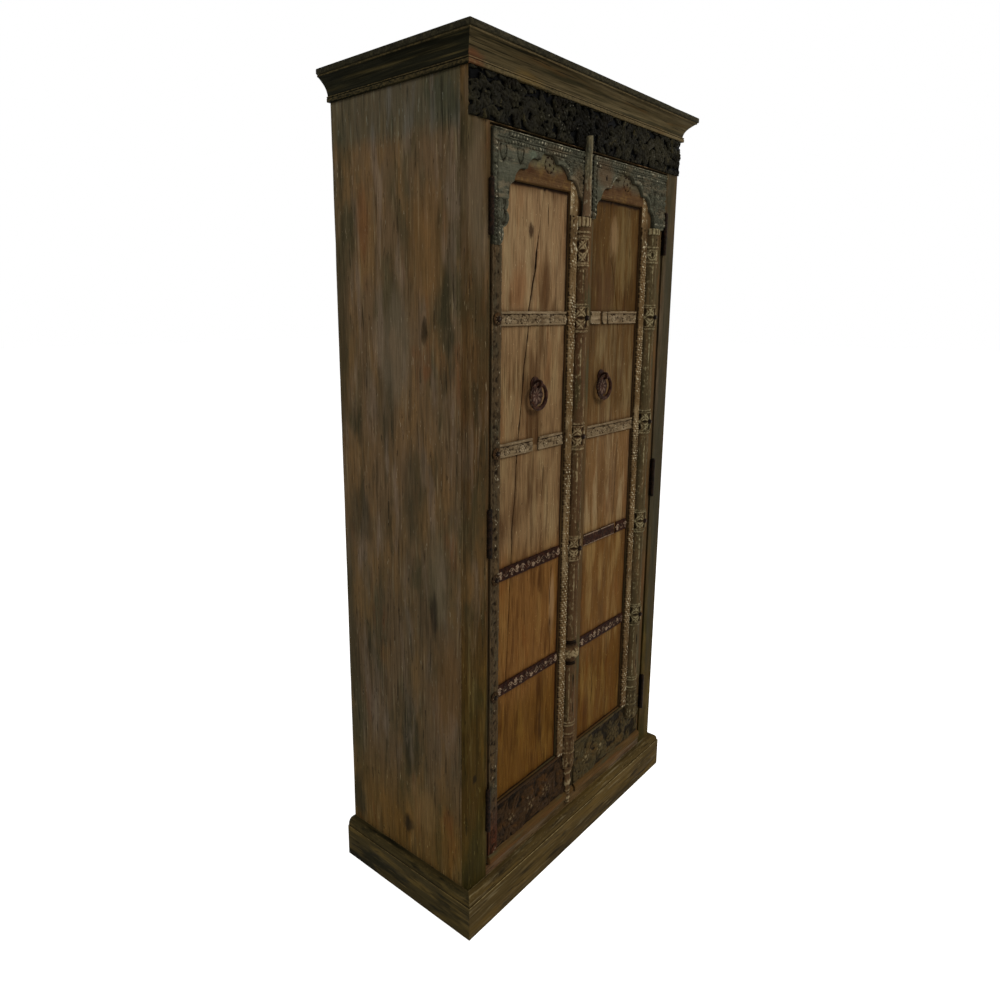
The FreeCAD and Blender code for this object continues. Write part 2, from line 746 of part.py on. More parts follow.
def make_leaf(name, side, recesses, ring_place_share):
    """Every piece of one leaf."""
    leaf = Leaf(name, side)
    make_leaf_frame(leaf, recesses)
    make_straps(leaf)
    column = make_columns(leaf)
    save(name + "_kick_carving", make_kick(leaf, column))
    save(name + "_rope_strip", make_rope_strip(leaf).cut(column))
    save(name + "_arch", make_arch(leaf).cut(column))
    if side < 0:
        bottom = leaf_bottom + kick_moulding_height
        top = leaf_top - bracket_drop
        strip_front = member_front - bead_strip_thickness
        save(name + "_bead_strip",
             leaf.slab(overlay_edge, outer_stile_width, strip_front, member_front, bottom, top))
    make_studs(leaf)
    make_ring(leaf, ring_place_share)


recesses = make_hinges()
make_cornice_and_plinth()
make_carcass(recesses)
make_leaf("left", -1, recesses["leaf_left"], left_ring_place_share)
make_leaf("right", 1, recesses["leaf_right"], right_ring_place_share)
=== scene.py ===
"""A tall cupboard round two old carved door leaves: its carving, its boards and their finishes."""
import math

import bmesh
import bpy
import numpy as np
from mathutils import Matrix, Vector


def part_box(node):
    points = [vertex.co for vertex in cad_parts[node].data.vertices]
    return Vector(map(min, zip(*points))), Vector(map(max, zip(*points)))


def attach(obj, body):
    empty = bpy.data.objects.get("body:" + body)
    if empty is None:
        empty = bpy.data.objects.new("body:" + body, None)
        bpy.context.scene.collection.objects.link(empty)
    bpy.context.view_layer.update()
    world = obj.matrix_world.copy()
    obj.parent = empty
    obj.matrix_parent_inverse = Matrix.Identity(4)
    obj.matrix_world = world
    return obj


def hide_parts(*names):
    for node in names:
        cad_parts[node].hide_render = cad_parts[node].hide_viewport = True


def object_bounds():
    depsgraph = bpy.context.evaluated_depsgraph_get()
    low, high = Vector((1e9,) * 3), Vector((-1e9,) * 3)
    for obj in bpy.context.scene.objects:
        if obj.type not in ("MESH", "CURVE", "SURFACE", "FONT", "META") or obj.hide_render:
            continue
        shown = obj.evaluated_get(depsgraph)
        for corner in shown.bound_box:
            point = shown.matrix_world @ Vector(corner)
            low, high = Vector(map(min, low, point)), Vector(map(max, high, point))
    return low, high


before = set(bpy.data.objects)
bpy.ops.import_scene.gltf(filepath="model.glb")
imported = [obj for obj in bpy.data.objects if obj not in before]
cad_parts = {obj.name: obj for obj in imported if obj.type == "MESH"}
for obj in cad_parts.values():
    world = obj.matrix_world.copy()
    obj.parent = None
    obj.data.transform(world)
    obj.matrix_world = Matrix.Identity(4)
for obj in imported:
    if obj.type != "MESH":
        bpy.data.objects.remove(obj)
CAD_LOW, CAD_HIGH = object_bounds()

# Shapes are worked out in millimetres and scaled to metres as they go into a mesh
MM = 0.001


def box_mm(node):
    """Lowest and highest corner of a solid of the frame, in millimetres."""
    return [[c / MM for c in corner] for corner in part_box(node)]


# Planes and edges read from the frame
(CARCASS_LOW, CARCASS_HIGH) = box_mm("side_left")
HALF = -CARCASS_LOW[0]
FRONT = box_mm("front_stile_left")[0][1]
BACK = CARCASS_HIGH[1]
TOP = CAD_HIGH.z / MM
LID_BOTTOM = box_mm("cornice_lid")[0][2]
CORNICE_BOTTOM = box_mm("cornice_front")[0][2]
CORNICE_OUT = -box_mm("cornice_front")[0][0] - HALF
PLINTH_TOP = box_mm("plinth_front")[1][2]
PLINTH_OUT = -box_mm("plinth_front")[0][0] - HALF
MEMBER_FRONT = box_mm("left_rails")[0][1]
LEAF_BACK = box_mm("left_rails")[1][1]
PLANK_FRONT = box_mm("left_planks")[0][1]
PLANKS_LOW = box_mm("left_planks")[0][2]
PLANKS_TOP = box_mm("left_planks")[1][2]
LEAF_LOW = box_mm("left_rails")[0][2]
LEAF_TOP = box_mm("left_rails")[1][2]
COLUMN_TOP = box_mm("left_rope_strip")[1][2]
ARCH_FRONT = box_mm("left_arch")[0][1]
BACK_BOARDS = 5
STRAP_SHARES = (0.2605, 0.432, 0.604, 0.775)
STRAPS = [LEAF_LOW + (LEAF_TOP - LEAF_LOW) * share for share in STRAP_SHARES]

# Arch over each leaf, as shares of its half width and of its rise
ARCH_DROP = 29.0
ARCH_RISE = 102.0
ARCH_FOOT = 15.0
ARCH_CUSP_SHARES = ((1.0, 0.0), (0.86, 0.35), (0.56, 0.63), (0.23, 0.86), (0.0, 1.0))
LOBE_SHARE = 0.22


def linear(code):
    """An sRGB colour such as 4A3B2B as the linear values that a shader takes."""
    parts = [int(code[i:i + 2], 16) / 255 for i in (0, 2, 4)]
    return [p / 12.92 if p <= 0.04045 else ((p + 0.055) / 1.055) ** 2.4 for p in parts] + [1.0]


def hills(x, z, size, seed, octaves=3):
    """Smooth random heights, about -1 to 1: random values on a square lattice, blended between
    its knots by a smooth step, with each octave half as wide and half as high as the last."""
    total = 0.0
    for octave in range(octaves):
        knots = np.random.default_rng(seed + octave).uniform(-1, 1, (64, 64))
        u = x * 2 ** octave / size + 13.7 * octave
        w = z * 2 ** octave / size + 7.3 * octave
        i, j = np.floor(u).astype(int), np.floor(w).astype(int)
        u, w = u - i, w - j
        u, w = u * u * (3 - 2 * u), w * w * (3 - 2 * w)
        i, j = i % 63, j % 63
        low = knots[i, j] * (1 - u) + knots[i + 1, j] * u
        high = knots[i, j + 1] * (1 - u) + knots[i + 1, j + 1] * u
        total = total + (low * (1 - w) + high * w) / 2 ** octave
    return total * 0.7


def dome(share):
    """A half round: 1 in the middle, 0.4 at its rim where share is 1, and 0 beyond it."""
    return np.where(np.abs(share) < 1, 0.4 + 0.6 * np.sqrt(np.clip(1 - share ** 2, 0, 1)), 0)


def leaf(x, z, foot, angle, length, width, curl=0.0, veins=5):
    """Height of a carved leaf. Its half width follows a sine along the midrib, notched where the
    side veins end; it is rounded across, and the midrib and the slanted veins are cut in.
    Curl bends the tip aside by the square of the way along."""
    c, s = math.cos(angle), math.sin(angle)
    along = ((x - foot[0]) * c + (z - foot[1]) * s) / length
    aside = ((z - foot[1]) * c - (x - foot[0]) * s) / width - curl * along ** 2
    inside = np.clip(along, 0, 1)
    half = 0.5 * np.sin(np.pi * inside ** 0.75) * (1 - 0.22 * np.abs(np.sin(np.pi * veins * inside)) ** 3)
    across = np.abs(aside) / np.maximum(half, 1e-6)
    height = 0.5 + 0.5 * np.sqrt(np.clip(1 - across ** 2, 0, 1))
    height = height - 0.4 * np.exp(-(aside / 0.08) ** 2)
    height = height - 0.22 * np.cos(np.pi * (veins * inside - 2.2 * np.abs(aside))) ** 8
    return np.where((along > 0) & (along < 1) & (across < 1), height, 0)


def flower(x, z, centre, radius, petals, turn=0.0):
    """Height of a carved flower: rounded petals that a cosine of the angle divides, a sunk ring
    round the heart, and a domed heart."""
    share = np.hypot(x - centre[0], z - centre[1]) / radius
    angle = np.arctan2(z - centre[1], x - centre[0]) - turn
    lobe = np.abs(np.cos(petals * angle / 2))
    edge = 0.74 + 0.26 * lobe
    petal = (0.5 + 0.5 * np.sqrt(np.clip(1 - (share / edge) ** 2, 0, 1))) * (0.6 + 0.4 * lobe ** 0.5)
    petal = petal - 0.35 * np.exp(-((share - 0.36) / 0.07) ** 2)
    return np.where(share < edge, np.maximum(petal, dome(share / 0.3)), 0)


def scroll(x, z, centre, radius, turns, thickness, start=0.0, hand=1):
    """Height of a scrolled stem: a half round rib along a spiral whose radius shrinks evenly."""
    distance = np.hypot(x - centre[0], z - centre[1])
    angle = np.arctan2(z - centre[1], x - centre[0])
    share = np.mod(hand * angle - start, 2 * np.pi) / (2 * np.pi)
    gaps = [np.abs(distance - radius * (1 - (share + k) / (turns + 0.5))) for k in range(turns)]
    return dome(np.min(gaps, axis=0) / thickness)


def foliage(x, z, corners, spacing, size, seed, flowers=0.2):
    """Height of dense old carving: on a shaken lattice of places, leaves that turn at random and a
    share of flowers, all joined by their maximum."""
    chance = np.random.default_rng(seed)
    (left, low), (right, high) = corners
    height = np.zeros(x.shape)
    for middle_z in np.arange(low, high + spacing / 2, spacing):
        for middle_x in np.arange(left, right + spacing / 2, spacing):
            place = (middle_x + chance.uniform(-0.3, 0.3) * spacing, middle_z + chance.uniform(-0.3, 0.3) * spacing)
            turn, scale, bend = chance.uniform(0, 2 * math.pi), chance.uniform(0.8, 1.15), chance.uniform(-0.6, 0.6)
            near = np.hypot(x - place[0], z - place[1]) < 1.3 * size
            if chance.random() < flowers:
                part = flower(x[near], z[near], place, 0.42 * size * scale, 5 + seed % 3, turn)
            else:
                foot = (place[0] - 0.5 * size * math.cos(turn), place[1] - 0.5 * size * math.sin(turn))
                part = leaf(x[near], z[near], foot, turn, size * scale, 0.55 * size * scale, bend, 3)
            height[near] = np.maximum(height[near], chance.uniform(0.75, 1) * part)
    return height


def beads(along, aside, pitch, radius):
    """Height of a row of round beads, a pitch apart, on the line where aside is zero."""
    return dome(np.hypot(np.mod(along, pitch) - pitch / 2, aside) / radius)


def grid_faces(rows, columns):
    """Quads of a grid of points that is numbered row by row."""
    i, j = np.mgrid[0:rows - 1, 0:columns - 1]
    first = (i * columns + j).reshape(-1)
    return np.stack([first, first + 1, first + columns + 1, first + columns], -1)


def signed_volume(points, quads, caps):
    """Volume inside a closed mesh, negative where its faces point inwards: the sum over its
    triangles of a corner times the cross product of the other two, over six."""
    fans = [quads[:, [0, 1, 2]], quads[:, [0, 2, 3]]]
    for cap in caps:
        cap = np.array(cap)
        fans.append(np.stack([np.full(len(cap) - 2, cap[0]), cap[1:-1], cap[2:]], -1))
    corners = points[np.concatenate(fans)]
    return np.einsum("ij,ij->", corners[:, 0], np.cross(corners[:, 1], corners[:, 2])) / 6


def make_piece(name, points, quads, caps, body, slot, material, nodes=(), wear=None, marks=None, sharp=48):
    """A closed mesh from points in millimetres, with its faces turned outwards, set on its body.
    Wear and marks are values at its points that its material reads."""
    if signed_volume(points, quads, caps) < 0:
        quads, caps = quads[:, ::-1], [cap[::-1] for cap in caps]
    mesh = bpy.data.meshes.new(name)
    mesh.from_pydata((points * MM).tolist(), [], quads.tolist() + [list(cap) for cap in caps])
    mesh.polygons.foreach_set("use_smooth", [True] * len(mesh.polygons))
    mesh.set_sharp_from_angle(angle=math.radians(sharp))
    for title, values in (("wear", wear), ("marks", marks)):
        if values is not None:
            layer = mesh.attributes.new(title, "FLOAT", "POINT")
            layer.data.foreach_set("value", np.clip(values, 0, 1).astype(np.float32))
    mesh.materials.append(material)
    piece = bpy.data.objects.new(name, mesh)
    bpy.context.scene.collection.objects.link(piece)
    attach(piece, body)
    if nodes:
        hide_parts(*nodes)
    return piece


def carved(name, x, y, z, back, wear, *finish, marks=None, **more):
    """A board with a carved face: the face is the grid x, y, z, its dark walls run straight back
    from the border of the face to the depth back, and one flat clean face closes it there."""
    rows, columns = x.shape
    face = np.stack([x, y, z], -1).reshape(-1, 3)
    index = np.arange(rows * columns).reshape(rows, columns)
    border = np.concatenate([index[0, :-1], index[:-1, -1], index[-1, :0:-1], index[:0:-1, 0]])
    count = len(border)
    rim, rear = face[border].copy(), face[border].copy()
    rim[:, 1] = np.maximum(rim[:, 1], back - 0.6)
    rear[:, 1] = back
    near = rows * columns + np.arange(count)
    quads = [grid_faces(rows, columns)]
    for ring, after in ((border, near), (near, near + count)):
        quads.append(np.stack([ring, after, np.roll(after, -1), np.roll(ring, -1)], -1))
    wear = np.concatenate([wear.reshape(-1), np.full(count, 0.3), np.full(count, 0.6)])
    if marks is not None:
        marks = np.concatenate([marks.reshape(-1), np.ones(count), np.zeros(count)])
    return make_piece(name, np.concatenate([face, rim, rear]), np.concatenate(quads), [near[::-1] + count], *finish,
                      wear=wear, marks=marks, **more)


def bar(name, sections, wear, *finish, **more):
    """A closed bar: sections holds the same closed outline at each step along it, and both ends
    are capped flat."""
    steps, count, _ = sections.shape
    i, j = np.mgrid[0:steps - 1, 0:count]
    j_next = (j + 1) % count
    quads = np.stack([i * count + j, i * count + j_next, (i + 1) * count + j_next, (i + 1) * count + j], -1)
    ends = [list(range(count))[::-1], list(range((steps - 1) * count, steps * count))]
    return make_piece(name, sections.reshape(-1, 3), quads.reshape(-1, 4), ends, *finish,
                      wear=wear.reshape(-1), **more)


def flat_range(low, high, pitch):
    """Evenly spaced places from low to high, about a pitch apart."""
    return np.linspace(low, high, max(2, int(round((high - low) / pitch)) + 1))


def rounded_outline(width, depth, radius, pitch):
    """Outline of a rectangle about its middle, with arcs at its corners, and which points are on
    an arc: quarter circles of the radius, joined by evenly divided sides."""
    points, worn = [], []
    for turn, (a, b) in enumerate(((width, depth), (depth, width), (width, depth), (depth, width))):
        side = [(u, -b / 2) for u in flat_range(-a / 2 + radius, a / 2 - radius, pitch)]
        arc = [(a / 2 - radius + radius * math.sin(t), -b / 2 + radius - radius * math.cos(t))
               for t in (math.pi / 6, math.pi / 3)]
        for u, v in side + arc:
            c, s = ((1, 0), (0, 1), (-1, 0), (0, -1))[turn]
            points.append((u * c - v * s, u * s + v * c))
        worn += [1.0] + [0.45] * (len(side) - 2) + [1.0, 1.0, 1.0]
    return np.array(points), np.array(worn)


def board(name, corners, along, *finish, radius=1.6, pitch=14.0, chips=0.5, seed=1, **more):
    """A sawn board between two corners: a rounded rectangle carried along one axis, drawn in at
    both ends by the same radius. Its edges wander inwards by up to the size of the chips."""
    low, high = np.array(corners[0], float), np.array(corners[1], float)
    across = [axis for axis in range(3) if axis != along]
    size = high - low
    middle = (high + low) / 2
    radius = min(radius, 0.3 * min(size))
    outline, worn = rounded_outline(size[across[0]], size[across[1]], radius, pitch)
    length = size[along]
    inner = flat_range(radius, length - radius, 2 * pitch)
    steps = np.concatenate([[0, 0.3 * radius], inner, [length - 0.3 * radius, length]])
    inset = np.zeros(len(steps))
    inset[[0, -1]], inset[[1, -2]] = radius, 0.3 * radius
    half = np.array([size[across[0]], size[across[1]]]) / 2
    shrink = 1 - inset[:, None, None] / half
    places = outline[None] * shrink
    chip = chips * np.clip(hills(steps[:, None] + 0 * worn, 40 * outline.sum(1)[None] / 30, 34, seed), 0, 1)
    places = places * (1 - (chip * (worn > 0.9))[:, :, None] / half)
    sections = np.zeros((len(steps), len(outline), 3))
    sections[:, :, along] = (low[along] + steps)[:, None]
    sections[:, :, across[0]] = middle[across[0]] + places[:, :, 0]
    sections[:, :, across[1]] = middle[across[1]] + places[:, :, 1]
    wear = np.tile(worn, (len(steps), 1))
    wear[[0, 1, -2, -1]] = 0.9
    return bar(name, sections, wear, *finish, **more)


def softened(node, body, material, width=1.0, name=None):
    """The solid of the frame with its doubled corners merged, its flat faces joined and its sharp
    edges rounded, for boards and irons whose shape is already right."""
    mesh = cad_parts[node].data.copy()
    work = bmesh.new()
    work.from_mesh(mesh)
    bmesh.ops.remove_doubles(work, verts=work.verts, dist=0.02 * MM)
    bmesh.ops.dissolve_limit(work, angle_limit=math.radians(1), verts=work.verts, edges=work.edges)
    work.to_mesh(mesh)
    work.free()
    mesh.materials.clear()
    mesh.materials.append(material)
    mesh.polygons.foreach_set("use_smooth", [True] * len(mesh.polygons))
    mesh.set_sharp_from_angle(angle=math.radians(35))
    layer = mesh.attributes.new("wear", "FLOAT", "POINT")
    layer.data.foreach_set("value", np.full(len(mesh.vertices), 0.55, np.float32))
    piece = bpy.data.objects.new(name or node + "_finished", mesh)
    bpy.context.scene.collection.objects.link(piece)
    bevel = piece.modifiers.new("rounded edges", "BEVEL")
    bevel.width = width * MM
    bevel.segments = 2
    bevel.limit_method = "ANGLE"
    bevel.angle_limit = math.radians(40)
    bevel.harden_normals = True
    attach(piece, body)
    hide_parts(node)
    return piece


# Materials

X, Y, Z = 0, 1, 2


def add(tree, kind, inputs=None, **settings):
    """Adds a node with its settings; each input is given a value, or a socket that it links from."""
    node = tree.nodes.new(kind)
    for name, value in settings.items():
        setattr(node, name, value)
    for name, value in (inputs or {}).items():
        if isinstance(value, bpy.types.NodeSocket):
            tree.links.new(value, node.inputs[name])
        else:
            node.inputs[name].default_value = value
    return node


def streaks(tree, size, stretch, grain, seed, detail=4.0, swirl=0.0):
    """Noise of a size in millimetres across the grain, drawn out along it by a factor."""
    across = 1 / (size * MM)
    scale = [across / (stretch if axis == grain else 1) for axis in range(3)]
    place = add(tree, "ShaderNodeTexCoord")
    moved = add(tree, "ShaderNodeMapping", {"Vector": place.outputs["Object"], "Scale": scale,
                                            "Location": (seed * 3.1, seed * 5.3, seed * 1.7)})
    noise = add(tree, "ShaderNodeTexNoise", {"Vector": moved.outputs[0], "Scale": 1.0, "Detail": detail,
                                             "Roughness": 0.58, "Distortion": swirl})
    return noise.outputs["Fac"]


def between(tree, value, low, high, top=1.0):
    """Rises smoothly from 0 at low to top at high."""
    return add(tree, "ShaderNodeMapRange", {"Value": value, "From Min": low, "From Max": high,
                                            "To Max": top}, interpolation_type="SMOOTHSTEP").outputs[0]


def mixed(tree, factor, colour, other, blend="MIX"):
    """One colour over another by a factor."""
    node = add(tree, "ShaderNodeMix", {0: factor, 6: colour, 7: other}, data_type="RGBA", blend_type=blend)
    return node.outputs[2]


def times(tree, one, other):
    """Product of two values."""
    return add(tree, "ShaderNodeMath", {0: one, 1: other}, operation="MULTIPLY").outputs[0]


def height_mask(tree, low, high, ragged, seed):
    """Rises from 0 to 1 between two heights in millimetres, with a ragged edge."""
    here = add(tree, "ShaderNodeTexCoord").outputs["Object"]
    z = add(tree, "ShaderNodeSeparateXYZ", {0: here}).outputs["Z"]
    rough = streaks(tree, 60, 1.5, 2, seed)
    shift = add(tree, "ShaderNodeMath", {0: rough, 1: ragged * MM, 2: z}, operation="MULTIPLY_ADD").outputs[0]
    return between(tree, shift, (low + ragged / 2) * MM, (high + ragged / 2) * MM)


def spot(tree, place, radius, tall, ragged, seed):
    """1 in the heart of a spot round a place in millimetres and 0 beyond its ragged rim; the spot
    is drawn out upwards by the factor tall."""
    here = add(tree, "ShaderNodeTexCoord").outputs["Object"]
    way = add(tree, "ShaderNodeVectorMath", {0: here, 1: [c * MM for c in place]}, operation="SUBTRACT").outputs[0]
    scaled = add(tree, "ShaderNodeVectorMath", {0: way, 1: (1, 1, 1 / tall)}, operation="MULTIPLY").outputs[0]
    away = add(tree, "ShaderNodeVectorMath", {0: scaled}, operation="LENGTH").outputs["Value"]
    noise = streaks(tree, radius * 0.7, tall, Z, seed)
    reach = add(tree, "ShaderNodeMath", {0: noise, 1: ragged * radius * MM, 2: away},
                operation="MULTIPLY_ADD").outputs[0]
    return between(tree, reach, (0.5 * ragged + 1) * radius * MM, (0.5 * ragged + 0.35) * radius * MM)


def finish_wood(name, grain, base, layers, wear=None, gloss=0.64, grain_depth=0.22, grain_size=2.4,
                grades=(), spots=(), grain_dark=0.26, stain_and_shade=None):
    """Wood with a finish on it. Base is its main colour. Each layer is a colour, the size across
    the grain in millimetres, how far it is drawn out, where its noise starts and ends to show, and
    how strongly. Each grade turns one colour into another between two heights. Each spot is a
    colour, a place, a radius, how tall it is drawn out, and how strong it is. Wear gives the
    colours of the hollows and of the rubbed high places of carving, and where the rubbing starts.
    Stain and shade is what white would turn to where the piece's marks are strongest; on the planks the marks are real
    stains and painted shade."""
    material = bpy.data.materials.new(name)
    material.use_nodes = True
    tree = material.node_tree
    shader = tree.nodes["Principled BSDF"]
    colour = linear(base)
    for seed, (code, size, stretch, low, high, strength) in enumerate(layers, 1):
        mask = between(tree, streaks(tree, size, stretch, grain, seed, swirl=0.2), low, high, strength)
        colour = mixed(tree, mask, colour, linear(code))
    for seed, (code, target, low, high) in enumerate(grades, 51):
        ratio = [b / a for a, b in zip(linear(code), linear(target))]
        colour = mixed(tree, height_mask(tree, low, high, 60, seed), colour, ratio, "MULTIPLY")
    for seed, (code, place, radius, tall, strength) in enumerate(spots, 61):
        mask = times(tree, spot(tree, place, radius, tall, 1.1, seed), strength)
        colour = mixed(tree, mask, colour, linear(code))
    # Marks darken the colour: real stains, and on the planks painted shade along the recess edges and beside the
    # straps
    if stain_and_shade:
        amount = add(tree, "ShaderNodeAttribute", attribute_name="marks").outputs["Fac"]
        colour = mixed(tree, amount, colour, linear(stain_and_shade), "MULTIPLY")
    fine = streaks(tree, grain_size, 26, grain, 21, 3.0)
    shade = between(tree, fine, 0.34, 0.66)
    dark = mixed(tree, grain_dark, colour, linear("000000"))
    colour = mixed(tree, shade, dark, colour)
    if wear:
        hollow, rubbed, start, strength = wear
        amount = add(tree, "ShaderNodeAttribute", attribute_name="wear").outputs["Fac"]
        rough = streaks(tree, 4, 2.0, grain, 31)
        worn = add(tree, "ShaderNodeMath", {0: rough, 1: 0.9, 2: amount}, operation="MULTIPLY_ADD").outputs[0]
        colour = mixed(tree, between(tree, worn, start, start + 0.34, strength), colour, linear(rubbed))
        colour = mixed(tree, between(tree, amount, 0.5, 0.12), colour, linear(hollow))
    tree.links.new(colour, shader.inputs["Base Color"])
    rough = between(tree, streaks(tree, 16, 5, grain, 41), 0.25, 0.75)
    span = add(tree, "ShaderNodeMapRange", {"Value": rough, "To Min": gloss - 0.09, "To Max": gloss + 0.13})
    tree.links.new(span.outputs[0], shader.inputs["Roughness"])
    shader.inputs["Specular IOR Level"].default_value = 0.012
    bump = add(tree, "ShaderNodeBump", {"Height": fine, "Distance": grain_depth * MM, "Strength": 0.9})
    tree.links.new(bump.outputs[0], shader.inputs["Normal"])
    return material


def forged_iron(name, base, rust, pale, gloss=0.5):
    """Hand forged iron, blackened by age: brown rust in patches, with a few pale rubbed spots."""
    material = bpy.data.materials.new(name)
    material.use_nodes = True
    tree = material.node_tree
    shader = tree.nodes["Principled BSDF"]
    colour = mixed(tree, between(tree, streaks(tree, 9, 1, 2, 2), 0.42, 0.62, 0.8), linear(base), linear(rust))
    amount = add(tree, "ShaderNodeAttribute", attribute_name="wear").outputs["Fac"]
    rough = streaks(tree, 4, 1, 2, 5)
    worn = add(tree, "ShaderNodeMath", {0: rough, 1: 0.8, 2: amount}, operation="MULTIPLY_ADD").outputs[0]
    colour = mixed(tree, between(tree, worn, 1.0, 1.42, 0.8), colour, linear(pale))
    tree.links.new(colour, shader.inputs["Base Color"])
    shader.inputs["Metallic"].default_value = 0.04
    shader.inputs["Specular IOR Level"].default_value = 0.015
    span = add(tree, "ShaderNodeMapRange", {"Value": rough, "To Min": gloss - 0.1, "To Max": gloss + 0.2})
    tree.links.new(span.outputs[0], shader.inputs["Roughness"])
    bump = add(tree, "ShaderNodeBump", {"Height": streaks(tree, 2.5, 1, 2, 7), "Distance": 0.4 * MM,
                                        "Strength": 0.8})
    tree.links.new(bump.outputs[0], shader.inputs["Normal"])
    return material


# Old planed boards with remains of green and black paint, sanded back and waxed
SIDE_LAYERS = (("3D3725", 92, 3, 0.42, 0.64, 0.85), ("644C2F", 72, 3, 0.46, 0.67, 0.85),
               ("5C3A22", 50, 4, 0.57, 0.73, 0.6), ("2B281A", 46, 5, 0.55, 0.72, 0.8),
               ("6A5A4A", 36, 6, 0.49, 0.7, 0.65), ("2A2316", 15, 16, 0.53, 0.7, 0.5),
               ("1C170E", 9, 12, 0.6, 0.69, 0.6), ("7A6B50", 6, 22, 0.56, 0.71, 0.45),
               ("2E2516", 3, 34, 0.5, 0.68, 0.45), ("17120B", 4, 7, 0.65, 0.69, 0.7),
               ("8A7C64", 3, 9, 0.66, 0.7, 0.6))
SIDE_WEAR = ("241D13", "6A5A44", 1.4, 0.6)
SIDE_SPOTS = tuple((code, (-HALF, y, z), radius, tall, strength) for code, y, z, radius, tall, strength in (
    ("2A2719", 205, 1300, 38, 9, 0.7), ("2B281A", 210, 640, 36, 8, 0.6), ("6A4B28", -70, 1520, 70, 2.2, 0.4),
    ("5E3A20", 120, 1570, 26, 4, 0.45), ("343023", 60, 1200, 46, 3.2, 0.5), ("2E2A1D", -20, 1000, 42, 3.6, 0.5),
    ("2C281B", 150, 930, 46, 2.6, 0.6), ("5C4020", -120, 560, 60, 3, 0.4), ("1A150C", -60, 1345, 12, 3, 0.8),
    ("5E5342", 20, 1300, 60, 2.6, 0.5), ("5A4F3B", -90, 820, 44, 3, 0.5), ("1B160D", 12, 176, 24, 1.4, 0.85),
    ("6B5534", -30, 240, 60, 1.6, 0.4), ("272417", 196, 170, 40, 2, 0.8), ("191510", -80, 745, 14, 5, 0.7)))
SIDE_GRADES = (("50402B", "433C2C", 1700, 1750), ("50402B", "483B28", 1000, 700), ("50402B", "553F1F", 420, 160))
SIDE_WOOD = finish_wood("waxed board, old paint, upright", Z, "574530", SIDE_LAYERS, SIDE_WEAR,
                        grades=SIDE_GRADES, spots=SIDE_SPOTS)
STILE_WOOD = finish_wood("waxed front stile, old paint", Z, "4A3822", SIDE_LAYERS, SIDE_WEAR,
                         grades=(("50402B", "483823", 2000, 1900), ("50402B", "47391A", 900, 500)),
                         spots=(("5C4E3B", (-395, FRONT, 1600), 40, 5, 0.6), ("1E170C", (-398, FRONT, 372), 9, 1.6, 0.9),
                                ("343023", (395, FRONT, 1000), 44, 22, 0.8)))
CROSS_WOOD = finish_wood("waxed board, old paint, level", X, "44351F", SIDE_LAYERS, SIDE_WEAR)
CORNICE_LAYERS = (("5C5038", 10, 30, 0.5, 0.66, 0.8), ("2B2717", 12, 26, 0.5, 0.64, 0.85),
                  ("503A1E", 26, 10, 0.54, 0.7, 0.6), ("17160D", 4, 40, 0.56, 0.66, 0.85))
CORNICE_FRONT_WOOD = finish_wood("dark waxed moulding, front", X, "463C27", CORNICE_LAYERS,
                                 ("0F0D08", "5E5036", 1.2, 0.6),
                                 spots=(("57341F", (-420, -190, 1826), 50, 0.5, 0.7),
                                        ("5F4A22", (-250, -200, 1830), 60, 0.3, 0.5)))
LID_WOOD = finish_wood("dark waxed top board", X, "1E1C13", (("2E2B1D", 12, 26, 0.5, 0.66, 0.8),
                       ("100F09", 20, 12, 0.5, 0.66, 0.8)), ("0B0A06", "3E3828", 1.3, 0.6))
# The cornice sides are much darker than its front: partly their own darker colour, partly painted shade
CORNICE_SIDE_WOOD_AND_SHADE = finish_wood("dark waxed moulding, side", Y, "1A1910",
                                (("3F3720", 9, 36, 0.52, 0.7, 0.8), ("0E0E08", 16, 22, 0.5, 0.66, 0.8)),
                                ("080704", "483D25", 1.2, 0.6), grain_dark=0.4)
PLINTH_LAYERS = (("5C4823", 44, 7, 0.46, 0.68, 0.65), ("2E2518", 40, 6, 0.48, 0.68, 0.7),
                 ("7C6E50", 7, 14, 0.56, 0.7, 0.6), ("1A160D", 9, 10, 0.56, 0.68, 0.75),
                 ("2C2413", 4, 24, 0.52, 0.66, 0.5))
PLINTH_FRONT_WOOD = finish_wood("waxed base moulding, front", X, "46381D", PLINTH_LAYERS,
                                ("1A150B", "84744F", 1.12, 0.75))
PLINTH_SIDE_WOOD = finish_wood("waxed base moulding, side", Y, "352D19",
                               (("524322", 26, 8, 0.5, 0.68, 0.8), ("17160D", 34, 5, 0.48, 0.62, 0.85),
                                ("5C4C2C", 6, 14, 0.58, 0.7, 0.6), ("100F0A", 8, 10, 0.58, 0.68, 0.7)),
                               ("0E0C07", "5E5032", 1.12, 0.7))
# Near black old paint over deep carving, with a few rubbed pale specks
BLACK_CARVING = finish_wood("black painted carving", X, "191710", (("262318", 30, 1.5, 0.48, 0.62, 0.85),
                            ("100D08", 40, 2, 0.5, 0.62, 0.85), ("3A3420", 24, 1, 0.6, 0.68, 0.7)),
                            ("010101", "625E50", 1.34, 0.85), gloss=0.46, grain_depth=0.05,
                            spots=(("070604", (-30, -185, 1778), 130, 0.5, 0.7),
                                   ("332F22", (290, -185, 1778), 90, 0.5, 0.5)))
